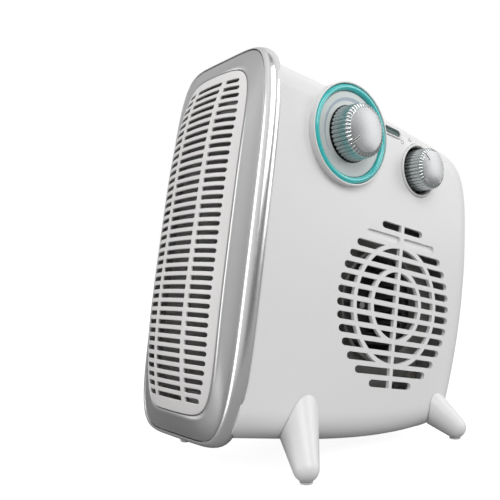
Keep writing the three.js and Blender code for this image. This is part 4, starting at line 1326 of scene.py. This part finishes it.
floor_look, floor_nodes, floor_links = node_material("floor")
floor_shader = floor_nodes["Principled BSDF"]
floor_shader.inputs["Roughness"].default_value = 0.7
floor_shader.inputs["Emission Color"].default_value = (1, 1, 1, 1)
floor_tone = noise(floor_nodes, floor_links, 3)
floor_seen = floor_nodes.new("ShaderNodeLightPath").outputs["Is Camera Ray"]
floor_glow = floor_nodes.new("ShaderNodeMath")
floor_glow.operation = "MULTIPLY"
floor_glow.inputs[1].default_value = 0.92
floor_links.new(floor_seen, floor_glow.inputs[0])
floor_links.new(floor_glow.outputs["Value"], floor_shader.inputs["Emission Strength"])
floor_links.new(
    two_tone(floor_nodes, floor_links, floor_tone, (0.26, 0.26, 0.26), (0.28, 0.28, 0.28)), floor_shader.inputs["Base Color"]
)
stage_plane("floor", 40, (0, 0, 0), floor_look)


def area_light(name, location, target, size, power, colour=(1, 1, 1)):
    data = bpy.data.lights.new(name, "AREA")
    data.shape = "RECTANGLE"
    data.size, data.size_y = size
    data.energy = power
    data.color = colour
    light = bpy.data.objects.new(name, data)
    light.location = location
    light.rotation_mode = "QUATERNION"
    light.rotation_quaternion = (Vector(location) - Vector(target)).to_track_quat("Z", "Y")
    bpy.context.scene.collection.objects.link(light)
    return light


middle = (0, 0, 0.13)
area_light("key", (1.25, -0.15, 1.05), middle, (1.0, 1.0), 11)
area_light("front_fill", (-0.5, -1.4, 0.5), middle, (0.8, 1.0), 5)
area_light("rear_fill", (0.9, 1.2, 0.6), middle, (0.7, 0.8), 3.5)

world = bpy.data.worlds.new("world")
bpy.context.scene.world = world
world.use_nodes = True
world_nodes, world_links = world.node_tree.nodes, world.node_tree.links
backdrop = world_nodes["Background"]
direction = world_nodes.new("ShaderNodeTexCoord")
split = world_nodes.new("ShaderNodeSeparateXYZ")
world_links.new(direction.outputs["Generated"], split.inputs["Vector"])


def world_ramp(source, low, high, stops):
    """A grey level by a direction value mapped from low..high."""
    span = world_nodes.new("ShaderNodeMapRange")
    span.inputs["From Min"].default_value = low
    span.inputs["From Max"].default_value = high
    world_links.new(source, span.inputs["Value"])
    ramp = world_nodes.new("ShaderNodeValToRGB")
    ramp.color_ramp.interpolation = "EASE"
    elements = ramp.color_ramp.elements
    while len(elements) < len(stops):
        elements.new(0.5)
    for element, (value, level) in zip(elements, stops):
        element.position = (value - low) / (high - low)
        element.color = (level, level, level, 1)
    world_links.new(span.outputs["Result"], ramp.inputs["Fac"])
    return ramp.outputs["Color"]


bearing = world_nodes.new("ShaderNodeMath")
bearing.operation = "ARCTAN2"
world_links.new(split.outputs["Y"], bearing.inputs[0])
world_links.new(split.outputs["X"], bearing.inputs[1])
around = world_ramp(
    bearing.outputs["Value"],
    -math.pi,
    math.pi,
    [
        (math.radians(a), level)
        for a, level in (
            (-180, 0.7), (-140, 0.75), (-75, 1.0), (-45, 0.8), (-8, 0.2), (14, 0.22), (48, 0.9), (100, 1.0), (180, 0.7)
        )
    ],
)
height = world_ramp(split.outputs["Z"], -1, 1, [(-1, 0.5), (-0.15, 0.6), (0.1, 0.75), (0.6, 1.0), (1, 1.0)])
blend = world_nodes.new("ShaderNodeMix")
blend.data_type = "RGBA"
blend.blend_type = "MULTIPLY"
blend.inputs["Factor"].default_value = 1
world_links.new(around, blend.inputs["A"])
world_links.new(height, blend.inputs["B"])
world_links.new(blend.outputs["Result"], backdrop.inputs["Color"])
backdrop.inputs["Strength"].default_value = 0.85
clear = world_nodes.new("ShaderNodeBackground")
clear.inputs["Color"].default_value = (1, 1, 1, 1)
seen = world_nodes.new("ShaderNodeLightPath")
choose = world_nodes.new("ShaderNodeMixShader")
world_links.new(seen.outputs["Is Camera Ray"], choose.inputs["Fac"])
world_links.new(backdrop.outputs["Background"], choose.inputs[1])
world_links.new(clear.outputs["Background"], choose.inputs[2])
world_links.new(choose.outputs["Shader"], world_nodes["World Output"].inputs["Surface"])
bpy.context.scene.view_settings.view_transform = "Standard"
